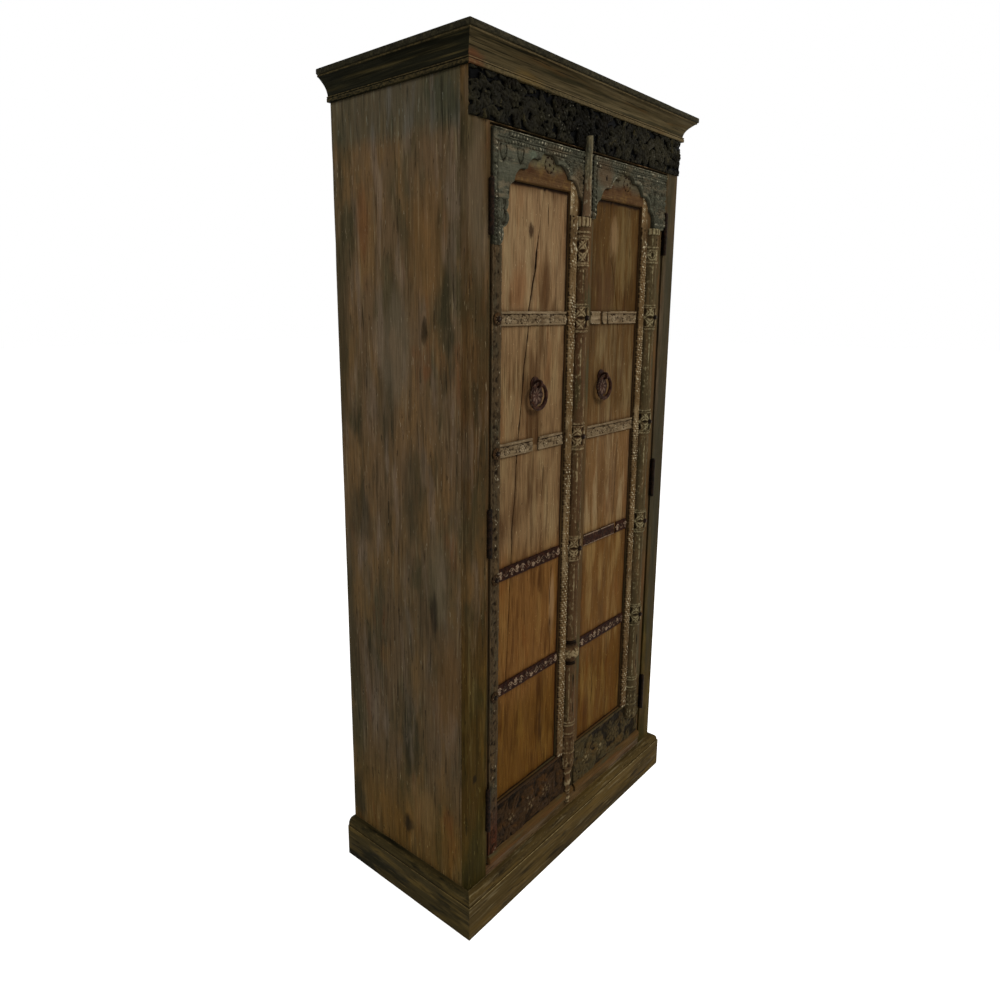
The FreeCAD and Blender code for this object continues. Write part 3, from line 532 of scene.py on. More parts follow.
# Old carving with remains of grey green paint, rubbed pale on its high places
GREEN_LAYERS = (("403F32", 22, 2.5, 0.46, 0.62, 0.85), ("5C5240", 18, 3, 0.52, 0.66, 0.8),
                ("2C2920", 10, 3, 0.55, 0.66, 0.75), ("7A725C", 5, 3, 0.6, 0.7, 0.6))
# Patches on the arch boards; the small near black one on the right board is painted shade for a hole
ARCH_SPOTS_AND_HOLE_SHADE = tuple((code, (x, ARCH_FRONT, z), radius, tall, strength) for code, x, z, radius, tall, strength in (
    ("4A3F2E", -150, 1712, 46, 0.5, 0.45), ("5A4C38", -56, 1640, 34, 2.2, 0.85), ("5A6250", -228, 1690, 18, 1.0, 0.5),
    ("4C3D2C", 52, 1690, 50, 0.9, 0.85), ("120D07", 56, 1684, 7, 1.3, 0.95), ("453B27", 140, 1690, 50, 0.8, 0.7)))
ARCH_WOOD = finish_wood("worn carving, grey green paint", X, "48473A", GREEN_LAYERS,
                        ("1A170E", "A09880", 1.26, 0.85), spots=ARCH_SPOTS_AND_HOLE_SHADE)
POST_WOOD = finish_wood("worn post, remains of green paint", Z, "5A523C", GREEN_LAYERS,
                        ("221E14", "8E866C", 1.2, 0.7), grades=(("5A523C", "5A4733", 1710, 1640),))
STRIP_WOOD = finish_wood("worn narrow moulding", Z, "433625", (("3D392B", 30, 4, 0.46, 0.64, 0.8),
                         ("55432C", 12, 4, 0.52, 0.7, 0.8), ("2A2115", 9, 3, 0.56, 0.66, 0.8)),
                         ("181109", "A4987C", 1.22, 0.85), grades=(("50402B", "4A2A1A", 330, 200),
                                                                   ("50402B", "524E40", 1500, 1640)))
ROPE_WOOD = finish_wood("worn twisted moulding", Z, "5A462C", (("6E583B", 14, 5, 0.46, 0.66, 0.8),
                        ("3A2B19", 20, 4, 0.5, 0.64, 0.8), ("7E6C4E", 34, 3, 0.52, 0.66, 0.6)),
                        ("22180C", "B2A688", 1.14, 0.85),
                        grades=(("574631", "3C2A20", 330, 220),))
INNER_CARVING = finish_wood("worn carving, dark brown", X, "4A3520", (("5E4626", 20, 1.5, 0.48, 0.68, 0.8),
                            ("3A2414", 26, 2, 0.5, 0.68, 0.8)), ("1E130A", "6E5A3A", 1.26, 0.7),
                            grades=(("4A3520", "494232", 1664, 1690),))
COLUMN_LAYERS = (("57432A", 16, 6, 0.46, 0.68, 0.8), ("36301C", 20, 5, 0.52, 0.68, 0.8),
                 ("442A18", 22, 6, 0.54, 0.7, 0.6))
COLUMN_WOOD = finish_wood("worn half column, brown", Z, "473421", COLUMN_LAYERS, ("150E07", "857556", 1.1, 0.8))
PILASTER_WOOD = finish_wood("worn half column, olive", Z, "443925", COLUMN_LAYERS[:2],
                            ("151008", "857A5B", 1.12, 0.8))
LEFT_KICK_WOOD = finish_wood("dark worn carving, left", X, "342516", (("2C2015", 24, 2, 0.46, 0.66, 0.85),
                             ("462E16", 26, 2, 0.52, 0.7, 0.7)), ("0D0905", "6E5E44", 1.24, 0.75))
RIGHT_KICK_WOOD = finish_wood("dark worn carving, right", X, "403520", (("3B3422", 24, 2, 0.46, 0.66, 0.85),
                              ("4C391E", 26, 2, 0.52, 0.7, 0.7)), ("140F08", "76684A", 1.22, 0.75))
MEMBER_LAYERS = (("3E3B28", 22, 6, 0.48, 0.66, 0.8), ("5E4A2F", 12, 14, 0.52, 0.72, 0.7),
                 ("5A3B20", 26, 7, 0.5, 0.7, 0.6))
MEMBER_WOOD = finish_wood("worn leaf frame, upright", Z, "4A3822", MEMBER_LAYERS, ("1C150C", "7E7054", 1.2, 0.7))
MEMBER_CROSS_WOOD = finish_wood("worn leaf frame, level", X, "4A361C", MEMBER_LAYERS,
                                ("1C150C", "7E7054", 1.3, 0.7))
# Bare waxed planks with brown stains, paler above and redder below; their marks add painted shade at the edges of the
# recess and beside the straps
PLANK_LAYERS = (("857050", 30, 7, 0.48, 0.66, 0.75), ("5A442E", 24, 7, 0.52, 0.68, 0.7),
                ("6E4A2C", 46, 4, 0.54, 0.72, 0.45), ("3C2A16", 5, 18, 0.57, 0.68, 0.6),
                ("98825F", 6, 14, 0.56, 0.72, 0.4), ("4E3A22", 3, 20, 0.52, 0.66, 0.4),
                ("B5A079", 4, 2.2, 0.66, 0.72, 0.5), ("2C1C0E", 4, 2.6, 0.67, 0.73, 0.6))
PLANK_GRADES = (("7A6244", "725A3C", 1450, 1250), ("6E5337", "664320", 900, 780), ("704A26", "603E18", 560, 440))
RIGHT_GRADES = (("7A6244", "634F33", 1060, 1180), ("604D31", "574427", 1355, 1405), ("6E5337", "654726", 900, 780),
                ("704A26", "65401A", 560, 440))
PLANK_WEAR = ("1A1008", "A08B68", 1.36, 0.6)
LEFT_PLANK_WOOD = finish_wood("bare waxed planks, left leaf", Z, "785F42", PLANK_LAYERS, PLANK_WEAR,
                              grades=PLANK_GRADES, grain_dark=0.26, stain_and_shade="8A7058",
                              spots=(("2C1B10", (-212, -171, 1550), 12, 1.7, 0.85),
                                     ("6A4426", (-252, -171, 1430), 42, 1.7, 0.5),
                                     ("54391F", (-162, -171, 1430), 30, 3.4, 0.5),
                                     ("8A6E4C", (-106, -171, 690), 13, 8, 0.55)))
RIGHT_PLANK_WOOD = finish_wood("bare waxed planks, right leaf", Z, "654A2C", PLANK_LAYERS, PLANK_WEAR,
                               grades=RIGHT_GRADES, grain_dark=0.2, stain_and_shade="8A7058",
                               spots=(("7A6244", (122, -171, 1560), 26, 2.4, 0.6),
                                      ("46301D", (90, -171, 1430), 55, 2.4, 0.6)))
STRAP_WOOD = finish_wood("pale worn carved strap", X, "6B5A42", (("84735A", 14, 4, 0.46, 0.68, 0.8),
                         ("54432F", 18, 4, 0.52, 0.68, 0.8)), ("20160C", "A39478", 1.24, 0.8))
INNER_WOOD = finish_wood("plain sawn pine, upright", Z, "6B5137", (("7C6042", 20, 14, 0.46, 0.68, 0.8),
                         ("4C3822", 14, 18, 0.52, 0.7, 0.7)), gloss=0.68)
SHELF_WOOD = finish_wood("plain sawn pine, level", X, "6B5137", (("7C6042", 20, 14, 0.46, 0.68, 0.8),
                         ("4C3822", 14, 18, 0.52, 0.7, 0.7)), gloss=0.68)
OLD_IRON = forged_iron("black forged iron", "14100C", "261A12", "544A40")
STRAP_IRON = forged_iron("forged iron strap", "190B05", "2B150A", "85705A")
RING_IRON = forged_iron("forged iron ring, brown rust", "20130E", "3A2418", "84705F", gloss=0.42)
PLATE_IRON = forged_iron("iron plate, mauve brown rust", "33231C", "422E25", "6A5648")


# Carcass: boards, frieze, mouldings


def make_boards():
    """Side boards, stiles, sill, rail and every inner board."""
    for side in ("left", "right"):
        board("side_board_" + side, box_mm("side_" + side), Z, "cabinet", "side_wood", SIDE_WOOD,
              nodes=["side_" + side], seed=3)
        softened("front_stile_" + side, "cabinet", STILE_WOOD)
    softened("front_sill", "cabinet", CROSS_WOOD)
    softened("front_top_rail", "cabinet", CROSS_WOOD)
    softened("back_boards", "cabinet", INNER_WOOD, 0.8)
    # A loose tongue bridges each gap between the back boards, so that no light comes through
    low, high = box_mm("back_boards")
    for index in range(1, BACK_BOARDS):
        x = low[0] + (high[0] - low[0]) * index / BACK_BOARDS
        board("back_tongue_" + str(index), ((x - 4, low[1] + 4, low[2] + 1), (x + 4, high[1] - 4, high[2] - 1)), Z,
              "cabinet", "inner_wood", INNER_WOOD, seed=index)
    for node in ("bottom_board", "ceiling_board", "shelves", "plinth_back", "door_stop"):
        softened(node, "cabinet", SHELF_WOOD)
    for node in ("shelf_cleats", "plinth_glue_blocks"):
        softened(node, "cabinet", INNER_WOOD)
    for leaf_name in ("left", "right"):
        softened(leaf_name + "_ledges", leaf_name + "_leaf", SHELF_WOOD)


def edged(profile):
    """The outline's points with two more on each long side, close to its ends, and how rubbed each
    point is: more where the outline turns outwards, less where it turns inwards."""
    points, worn = [], []
    count = len(profile)
    for i in range(count):
        here, before, after = (np.array(profile[k % count], float) for k in (i, i - 1, i + 1))
        into, onward = here - before, after - here
        turn = (into[0] * onward[1] - into[1] * onward[0]) / (np.hypot(*into) * np.hypot(*onward))
        points.append(here)
        worn.append(0.55 + 0.45 * min(max(turn, -1), 1))
        length = np.hypot(*onward)
        if length > 6:
            points += [here + onward * 1.5 / length, after - onward * 1.5 / length]
            worn += [0.55, 0.55]
    out, z = np.array(points).T
    return out, z, np.array(worn)


def moulded(profile, piece_name, part, slot, material, nodes):
    """A length of moulding: the closed profile of (outward, height) points carried along the
    front or a side, with mitred corners where each point's outward reach lengthens the run."""
    out, z, worn = edged(profile)
    share = np.linspace(0, 1, 61 if part == "front" else 31)[:, None]
    sections = np.zeros((len(share), len(out), 3))
    sections[:, :, 2] = z
    if part == "front":
        sections[:, :, 0] = (HALF + out) * (2 * share - 1)
        sections[:, :, 1] = FRONT - out
    else:
        side = -1 if part == "left" else 1
        sections[:, :, 0] = side * (HALF + out)
        sections[:, :, 1] = (FRONT - out) + share * (BACK - FRONT + out)
    dents = 0.25 * hills(sections[:, :, 0] + sections[:, :, 1], sections[:, :, 2] * 3, 45, 9)
    sections[:, :, 2] += np.where((z > z.min() + 0.5) & (z < z.max() - 0.5), dents, 0)
    worn = np.tile(worn, (len(share), 1))
    return bar(piece_name, sections, worn, "cabinet", slot, material, nodes=nodes, sharp=30)


def cornice_profile():
    """Foot band with a small bead, a quirk, a long cove that sweeps out, a fillet, and the bed."""
    band, quirk, step = 11.0, 3.0, 4.0
    foot_out = 9.0
    top_out = CORNICE_OUT
    points = [(0, CORNICE_BOTTOM), (foot_out - 0.8, CORNICE_BOTTOM), (foot_out, CORNICE_BOTTOM + 0.8)]
    points += [(foot_out, CORNICE_BOTTOM + band - 4.2), (foot_out - 1, CORNICE_BOTTOM + band - 3.6),
               (foot_out - 1, CORNICE_BOTTOM + band - 2.8), (foot_out, CORNICE_BOTTOM + band - 2.2)]
    points += [(foot_out - 0.4, CORNICE_BOTTOM + band), (foot_out - quirk, CORNICE_BOTTOM + band + 0.3)]
    low, high = CORNICE_BOTTOM + band + quirk, LID_BOTTOM - step
    points.append((foot_out - quirk, low))
    for share in np.linspace(0, 1, 14)[1:]:
        swell = share - 0.21 * math.sin(math.pi * share)
        points.append((foot_out - quirk + (top_out - 3 - foot_out + quirk) * swell, low + (high - low) * share))
    points += [(top_out - 1, high + 0.3), (top_out, high + 1), (top_out, LID_BOTTOM), (0, LID_BOTTOM)]
    return points


def plinth_profile():
    """Flat face, a quirk, and a rounded slope up to a narrow flat top."""
    slope, quirk, flat = 18.0, 2.5, 9.0
    low = PLINTH_TOP - slope
    points = [(0, 0), (PLINTH_OUT - 0.8, 0), (PLINTH_OUT, 0.8), (PLINTH_OUT, low - 0.8), (PLINTH_OUT - 0.8, low),
              (PLINTH_OUT - quirk, low), (PLINTH_OUT - quirk, low + quirk)]
    for turn in np.linspace(0, math.pi / 2, 10)[1:]:
        points.append((flat + (PLINTH_OUT - quirk - flat) * math.cos(turn),
                       low + quirk + (slope - quirk) * math.sin(turn)))
    return points + [(0, PLINTH_TOP)]


def make_mouldings():
    """Cornice with its lid, and plinth."""
    for part in ("front", "left", "right"):
        wood = CORNICE_FRONT_WOOD if part == "front" else CORNICE_SIDE_WOOD_AND_SHADE
        moulded(cornice_profile(), "cornice_moulding_" + part, part, "cornice_wood", wood, ["cornice_" + part])
        wood = PLINTH_FRONT_WOOD if part == "front" else PLINTH_SIDE_WOOD
        moulded(plinth_profile(), "plinth_moulding_" + part, part, "plinth_wood", wood, ["plinth_" + part])
    board("cornice_lid_board", box_mm("cornice_lid"), X, "cabinet", "cornice_wood", LID_WOOD,
          nodes=["cornice_lid"], radius=2.4, pitch=22.0, seed=5)


def make_frieze():
    """Board over the doors, carved deep with a running vine, flowers and leaves."""
    low, high = box_mm("frieze_panel")
    length, height = high[0] - low[0], high[2] - low[2]
    x, z = np.meshgrid(flat_range(low[0], high[0], 1.25), flat_range(low[2], high[2], 1.25))
    u, w = x - low[0], z - (low[2] + high[2]) / 2
    wave = length / 5
    layers = [0.06 + 0.05 * hills(u, w, 16, 3), 0.7 * dome((w - 0.2 * height * np.sin(2 * np.pi * u / wave)) / 5)]
    layers.append(0.8 * foliage(u, w, ((4, -0.45 * height), (length - 4, 0.45 * height)), 27, 40, 41, 0.12))
    chance = np.random.default_rng(7)
    for cell in range(10):
        hand = 1 if cell % 2 == 0 else -1
        centre = (wave / 4 + cell * wave / 2 + chance.uniform(-3, 3), -hand * 0.1 * height + chance.uniform(-3, 3))
        turn = chance.uniform(0, 1)
        layers.append(flower(u, w, centre, 0.19 * height, 5 + cell % 3, turn))
        for step in range(8):
            angle = 2 * math.pi * (step + chance.uniform(-0.25, 0.25)) / 8 + turn
            foot = (centre[0] + 0.19 * height * math.cos(angle), centre[1] + 0.19 * height * math.sin(angle))
            layers.append(leaf(u, w, foot, angle, chance.uniform(0.3, 0.42) * height, 0.27 * height,
                               0.5 * hand, 3))
    relief = np.maximum.reduce(layers) * (0.86 + 0.3 * hills(u, w, 45, 11))
    depth = high[1] - low[1] - 1.5
    rim = np.minimum(np.minimum(u, length - u), np.minimum(z - low[2], high[2] - z))
    y = low[1] + depth * (1 - np.clip(relief, 0, 1)) + 2 * np.exp(-rim / 1.2)
    ragged = 3.5 * np.clip(hills(z, 0 * z, 9, 17), 0, 1)
    x = np.where(u > length / 2, x - ragged * (u / length) ** 8, x + ragged * (1 - u / length) ** 8)
    carved("frieze_carving", x, y, z, high[1], relief, "cabinet", "black_carving", BLACK_CARVING,
           nodes=["frieze_panel"])


# Door leaves


def lobed(points, bulge, count=10):
    """Points along lobes between corners: each lobe bows out of its chord by a share of it, as
    a parabola does."""
    line = [points[0]]
    for (x0, z0), (x1, z1) in zip(points, points[1:]):
        for t in np.linspace(0, 1, count + 1)[1:]:
            swell = 4 * bulge * t * (1 - t)
            line.append((x0 + (x1 - x0) * t - (z1 - z0) * swell, z0 + (z1 - z0) * t + (x1 - x0) * swell))
    return np.array(line)


def arch_line(left, right):
    """Lower outline of the arch from its left spring to its right one: lobes between cusps."""
    crown = LEAF_TOP - ARCH_DROP
    middle, half = (left + right) / 2, (right - left) / 2
    rising = [(middle - half * a, crown - ARCH_RISE * (1 - b)) for a, b in ARCH_CUSP_SHARES]
    falling = [(2 * middle - x, z) for x, z in rising[-2::-1]]
    line = lobed(rising + falling, LOBE_SHARE)
    line[:, 0] = np.maximum.accumulate(line[:, 0])
    return line


def arch_carving(x, z, low, high, line, buds, dense_from):
    """Height of the arch board's carving: rows of beads under its top edge and down its outer
    edge, a nearly flat field with a few drooping buds in it, dense small leaves from one place
    on, and a worn rib that follows the arch."""
    top = high[2]
    above = z - np.interp(x, line[:, 0], line[:, 1])
    field = 0.6 + 0.12 * hills(x, z, 18, 5) + 0.08 * hills(x, z, 5, 6)
    small = foliage(x, z, ((dense_from, line[0, 1]), (high[0], top - 26)), 14, 19, 51, 0.25)
    share = np.clip((x - dense_from) / 12, 0, 1)
    field = field * (1 - share) + np.maximum(0.34, 0.95 * small) * share
    for bud_x, bud_z in buds:
        for size, rise in ((1.35, None), (1.0, 0.85)):
            drop = leaf(x, z, (bud_x, bud_z + 15 * size), -math.pi / 2, 30 * size, 21 * size, 0, 1)
            field = np.where(drop > 0, 0.22 if rise is None else rise * drop, field)
    worn = np.clip(0.6 + 0.8 * hills(x, z, 40, 37), 0.1, 1)
    field = np.where(np.abs(above - 3.5) < 4.5, 0.5 + 0.4 * worn * dome((above - 3.5) / 4.5), field)
    band = top - z
    field = np.where(band < 27, 0.34, field)
    faded = np.clip(0.9 + 0.7 * hills(x, z, 22, 39), 0.35, 1)
    rows = [0.7 * dome((band - 14) / 1.5), 0.75 * dome((band - 27) / 1.6), 0.9 * dome((band - 1.5) / 2)]
    rows.append(np.where(band < 13, beads(x + 0.5 * band, band - 7.5, 10, 4.2) * faded, 0))
    rows.append(np.where(band > 15, beads(x - 0.5 * band, band - 20.5, 10, 4.2) * faded, 0))
    field = np.maximum.reduce([field] + rows)
    edge = x - low[0]
    field = np.where((edge < 12) & (band > 4), np.maximum(0.34, beads(z, edge - 6, 11, 4.6) * faded), field)
    return field + 0.1 * hills(x, z, 4, 29)


# For each arch board its buds, as x and z, and where its dense carving starts
ARCH_FIELDS = {
    "left": (((-322, 1686), (-268, 1688)), -158),
    "right": (((215, 1684),), 96),
}


def make_arch(side_name, arch_left, arch_right):
    """The carved board with its cusped arch; the left one has a scalloped bracket as well."""
    low, high = box_mm(side_name + "_arch")
    line = arch_line(arch_left, arch_right)
    spring = line[0, 1]
    columns = np.sort(np.concatenate([flat_range(low[0], high[0], 1.3), [arch_left - 0.01, arch_right + 0.01]]))
    outer_low = spring if side_name == "left" else COLUMN_TOP
    bottom = np.interp(columns, line[:, 0], line[:, 1])
    bottom = np.where(columns < arch_left, outer_low if side_name == "left" else COLUMN_TOP, bottom)
    bottom = np.where(columns > arch_right, COLUMN_TOP, bottom)
    share = np.linspace(0, 1, 92)[:, None]
    x = np.tile(columns, (len(share), 1))
    z = bottom + share * (high[2] - bottom)
    body = side_name + "_leaf"
    buds, dense_from = ARCH_FIELDS[side_name]
    relief = arch_carving(x, z, low, high, line, buds, dense_from)
    depth = 7.5
    y = low[1] + depth * (1 - np.clip(relief, 0, 1)) + 1.6 * np.exp(-np.minimum(z - bottom, high[2] - z) / 1.2)
    carved(side_name + "_arch_carving", x, y, z, high[1], relief, body, "green_carving", ARCH_WOOD,
           nodes=[side_name + "_arch"])
    # Low carving inside the arch, on the rail over the planks and on the head of the meeting stile
    rope = box_mm(side_name + "_rope_strip")
    spans = [(max(arch_left, box_mm(side_name + "_planks")[0][0]) + 3, min(rope[0][0], arch_right) - 1, PLANKS_TOP)]
    spans.append((rope[0][0], rope[1][0] - 1, COLUMN_TOP))
    for index, (start, end, base) in enumerate(spans):
        columns = flat_range(start, end, 1.4)
        over = np.interp(columns, line[:, 0], line[:, 1]) - 1.5
        columns, over = columns[over > base + 3], over[over > base + 3]
        share = np.linspace(0, 1, 46)[:, None]
        x = np.tile(columns, (46, 1))
        z = base + 1 + share * (over - base - 1)
        wood = ROPE_WOOD if index else INNER_CARVING
        relief = 0.45 + 0.12 * hills(x, z, 7, 5)
        small = foliage(x, z, ((start, base + 20), (end, high[2] - 30)), 13, 17, 43, 0.25)
        relief = np.maximum(relief, (1.05 if index else 0.85) * small)
        if index == 0:
            heart = (line[0, 0] + line[-1, 0]) / 2 + 8, high[2] - 44
            near = np.hypot(x - heart[0], z - heart[1])
            relief = np.where(near < 17, flower(x, z, heart, 16, 8) * (near > 3.6), relief)
            relief = np.where(z - base < 13, 0.35 + 0.5 * dome((z - base - 7) / 6), relief)
        y = MEMBER_FRONT - 0.4 - 2.2 * np.clip(relief, 0, 1)
        carved(side_name + "_inner_carving_" + str(index), x, y, z, MEMBER_FRONT, relief, body, "green_carving",
               wood)
    if side_name == "left":
        shares = ((0.0, 1.0), (0.28, 0.62), (1.12, 0.40), (0.72, 0.24), (1.0, 0.0))
        foot, reach = low[0] + 22, arch_left - low[0] - 22
        edge = lobed([(foot + reach * a, spring - (spring - low[2]) * b) for a, b in shares], -0.16)
        edge[:, 1] = np.maximum.accumulate(edge[:, 1])
        rows = flat_range(low[2], spring, 1.3)
        ends = np.interp(rows, edge[:, 1], edge[:, 0])
        share = np.linspace(0, 1, 38)
        x = low[0] + share[None] * (ends - low[0])[:, None]
        z = np.tile(rows[:, None], (1, len(share)))
        layers = [0.25 + 0.08 * hills(x, z, 7, 5), 0.9 * beads(z, x - (low[0] + 6), 8.5, 2.6),
                  0.7 * dome((ends[:, None] - x - 3) / 4), leaf(x, z, (low[0] + 20, low[2] + 2), 1.5, 46, 20, 0.2),
                  0.9 * leaf(x, z, (low[0] + 18, low[2] + 44), 1.35, 50, 22, 0.4)]
        relief = np.maximum.reduce(layers) + 0.06 * hills(x, z, 4, 29)
        y = low[1] + depth * (1 - np.clip(relief, 0, 1))
        carved("left_arch_bracket", x, y, z, high[1], relief, body, "green_carving", ARCH_WOOD)


def make_bead_strip():
    """Narrow strip down the outer edge of the left leaf: small worn leaves in a row between two
    fillets, rubbed nearly flat in places."""
    low, high = box_mm("left_bead_strip")
    x, z = np.meshgrid(flat_range(low[0], high[0], 1.5), flat_range(low[2], high[2], 1.8))
    middle = (low[0] + high[0]) / 2 + 1
    step = np.mod(z, 24) - 12
    hand = np.where(np.mod(z, 48) < 24, 1.0, -1.0)
    small = leaf(x, step, (middle - 8, -8), 0.75, 26, 13, 0, 3) * (hand > 0)
    small = np.maximum(small, leaf(-x, step, (-middle - 8, -8), 0.75, 26, 13, 0, 3) * (hand < 0))
    faded = np.clip(0.7 + 0.8 * hills(x / 3, z, 120, 14), 0.3, 1)
    layers = [0.45 + 0.3 * hills(x, z, 9, 5), 0.8 * dome((x - (low[0] + 1.5)) / 2.5),
              0.75 * dome((x - (high[0] - 4)) / 4)]
    relief = np.maximum.reduce(layers)
    relief = relief * (1 - faded) + np.maximum(relief * 0.6, small) * faded + 0.22 * hills(x, z, 5, 8)
    y = low[1] + 4.5 * (1 - np.clip(relief, 0, 1))
    carved("left_bead_strip_carving", x, y, z, high[1], relief, "left_leaf", "green_carving", STRIP_WOOD,
           nodes=["left_bead_strip"])


def make_rope_strip(side_name):
    """Half round strip beside the column, cut with small notches in a twist, worn unevenly, with
    longer slanted grooves at its foot and only small lumps at its head."""
    low, high = box_mm(side_name + "_rope_strip")
    x, z = np.meshgrid(flat_range(low[0], high[0], 1.1), flat_range(low[2], high[2], 1.5))
    share = (x - (low[0] + high[0]) / 2) / ((high[0] - low[0]) / 2)
    crown = np.sqrt(np.clip(1.1 - share ** 2, 0, 1))
    drift = 3.5 * hills(x, z, 30, 4)
    near = np.cos(np.pi * (z + drift + 8 * share) / 4.4) * np.cos(np.pi * (z + drift - 12 * share) / 10.5)
    foot = np.sin(2 * np.pi * (z - 14 * share) / 11)
    pattern = np.where(z < low[2] + 62, foot, near)
    pattern = np.where(z > high[2] - 76, 1.5 * hills(x, z, 8, 9), pattern)
    worn = np.clip(0.7 + 0.9 * hills(x / 2, z, 60, 16), 0.2, 1)
    relief = 0.58 + 0.4 * pattern * worn + 0.26 * hills(x, z, 5, 12)
    relief = relief - 0.5 * np.exp(-((np.abs(share) - 0.97) / 0.09) ** 2)
    y = low[1] + (high[1] - low[1] - 1) * (1 - crown) + 2.6 * (1 - np.clip(relief, 0, 1))
    y = np.minimum(y, high[1] - 0.3)
    carved(side_name + "_rope_carving", x, y, z, high[1] + 0.5, relief, side_name + "_leaf",
           "green_carving", ROPE_WOOD, nodes=[side_name + "_rope_strip"])


def plank_marks(side_name, x, z, edge):
    """How dark the planks are made: soft upright stains of dirt and damp where smooth random heights
    are high, painted shade along the edges of the recess and just above and below each strap,
    and under the left ring a crisp patch that an older plate has kept from fading."""
    fibres = 0.5 * hills(x, z / 18.0, 8, 64)
    stains = np.clip(1.3 * hills(x, z / 3.0, 52, 61) + fibres - 0.3, 0, 0.6) * STAINED[side_name]
    # Painted shade: darker along the edges of the recess, where the rails and stiles stand over the planks
    painted_recess_shade = np.exp(-(edge / 9) ** 1.2) * np.clip(0.85 + 0.6 * hills(x, z, 26, 62), 0, 1)
    # Painted shade: darker bands on the planks just above and below each strap
    painted_strap_shade = sum(np.exp(-np.abs(np.abs(z - strap) - 15) / 4.0) for strap in STRAPS) * 0.6
    if side_name == "left":
        across = np.clip((30 - np.abs(x + 191) + 4 * fibres + 1.5 * hills(z, 0 * z, 14, 63)) / 3, 0, 1)
        stains = np.maximum(stains, (0.7 + fibres / 3) * across * np.clip((1177 - z) / 5, 0, 1) * (z > STRAPS[2]))
    return np.maximum(np.maximum(stains, painted_recess_shade), painted_strap_shade)


def cracked_planks(side_name, cracks):
    """The two planks between stiles and rails: they meet on a slanted joint, and each face has
    shallow scraped hollows and long cracks, cut where the distance to a crack's line is small."""
    low, high = box_mm(side_name + "_planks")
    share, place = JOINTS[side_name]
    rows = flat_range(low[2], high[2], 4.0)
    joint = low[0] + (high[0] - low[0]) * np.interp((rows - low[2]) / (high[2] - low[2]), share, place)
    joint = joint + 3.5 * hills(rows, 0 * rows, 70, 5)
    share, gape = GAPES[side_name]
    gape = np.interp((rows - low[2]) / (high[2] - low[2]), share, gape)
    for index, part in enumerate(("left", "right")):
        steps = flat_range(0, 1, 1.7 / (high[0] - low[0]) * 2)
        chipped = gape * (0.9 + 2.6 * np.clip(hills(rows, 0 * rows + 50 * index, 18, 8), 0, 1))
        start = low[0] + 0 * joint if index == 0 else joint + chipped
        end = joint - chipped if index == 0 else high[0] + 0 * joint
        x = start[:, None] + (end - start)[:, None] * steps[None]
        z = np.tile(rows[:, None], (1, len(steps)))
        hollow = 0.5 * hills(x, z / 6, 24, 15) + 0.18 * hills(x, z / 12, 5, 19)
        wear = 0.62 + 0.14 * hills(x, z / 5, 20, 31)
        y = low[1] + 0.5 + 0.5 * hollow
        gap = np.minimum(np.abs(x - joint[:, None]), 40)
        broken = 1.9 + 4.0 * np.clip(hills(x / 3, z, 26, 12), 0, 1)
        parting = gape[:, None] * np.exp(-(gap / broken) ** 2)
        y = y + 2.6 * parting
        wear = wear - 0.6 * parting + 0.3 * gape[:, None] * np.exp(-((gap - 9) / 2.6) ** 2)
        for points in cracks:
            cx, cz = np.array(points).T
            line = np.interp(z, cz[::-1], cx[::-1]) + 1.5 * hills(z, 0 * z, 30, int(abs(cx[0])))
            inside = np.clip((z - cz[-1]) / 20, 0, 1) * np.clip((cz[0] - z) / 20, 0, 1)
            cut = np.exp(-((x - line) / 1.3) ** 2) * inside
            y = y + 1.4 * cut
            wear = wear - 0.5 * cut
        name = side_name + "_plank_" + part
        edge = np.minimum(np.minimum(x - low[0], high[0] - x), np.minimum(z - low[2], 0.7 * (high[2] - z)))
        # Painted shade: lower wear near the edges of the recess gives the planks their dark hollow colour there
        wear = wear - 0.6 * np.exp(-(edge / 5) ** 2)
        wood = LEFT_PLANK_WOOD if side_name == "left" else RIGHT_PLANK_WOOD
        carved(name, x, y, z, high[1], wear, side_name + "_leaf", "plank_wood", wood,
               nodes=[side_name + "_planks"] if index == 0 else [], marks=plank_marks(side_name, x, z, edge))


# The slanted joint of each leaf's planks, as shares of their height and of their width
JOINTS = {
    "left": ((0.0, 0.2, 0.39, 0.61, 0.81, 1.0), (0.14, 0.16, 0.21, 0.30, 0.44, 0.64)),
    "right": ((0.0, 0.36, 0.6, 0.81, 0.9, 1.0), (0.66, 0.64, 0.62, 0.60, 0.42, 0.37)),
}
# How wide that joint gapes, as shares of their height and of its widest, and how stained they are
GAPES = {
    "left": ((0.0, 0.17, 0.22, 0.4, 0.6, 0.81, 0.88, 0.94, 1.0), (0.1, 0.1, 0.5, 0.6, 0.8, 0.7, 1.15, 0.4, 0.2)),
    "right": ((0.0, 0.6, 0.81, 0.9, 1.0), (0.12, 0.15, 0.4, 0.5, 0.3)),
}
STAINED = {"left": 1.0, "right": 0.55}
# Long cracks as (x, z) places down the grain
CRACKS = {
    "left": (((-150, 1618), (-152, 1590), (-149, 1555)), ((-150, 1060), (-156, 940), (-153, 850)),
             ((-110, 800), (-113, 700), (-108, 600))),
    "right": (((196, 1560), (202, 1500), (199, 1400)), ((178, 1070), (172, 950), (175, 850)),
              ((90, 520), (95, 400), (92, 330))),
}


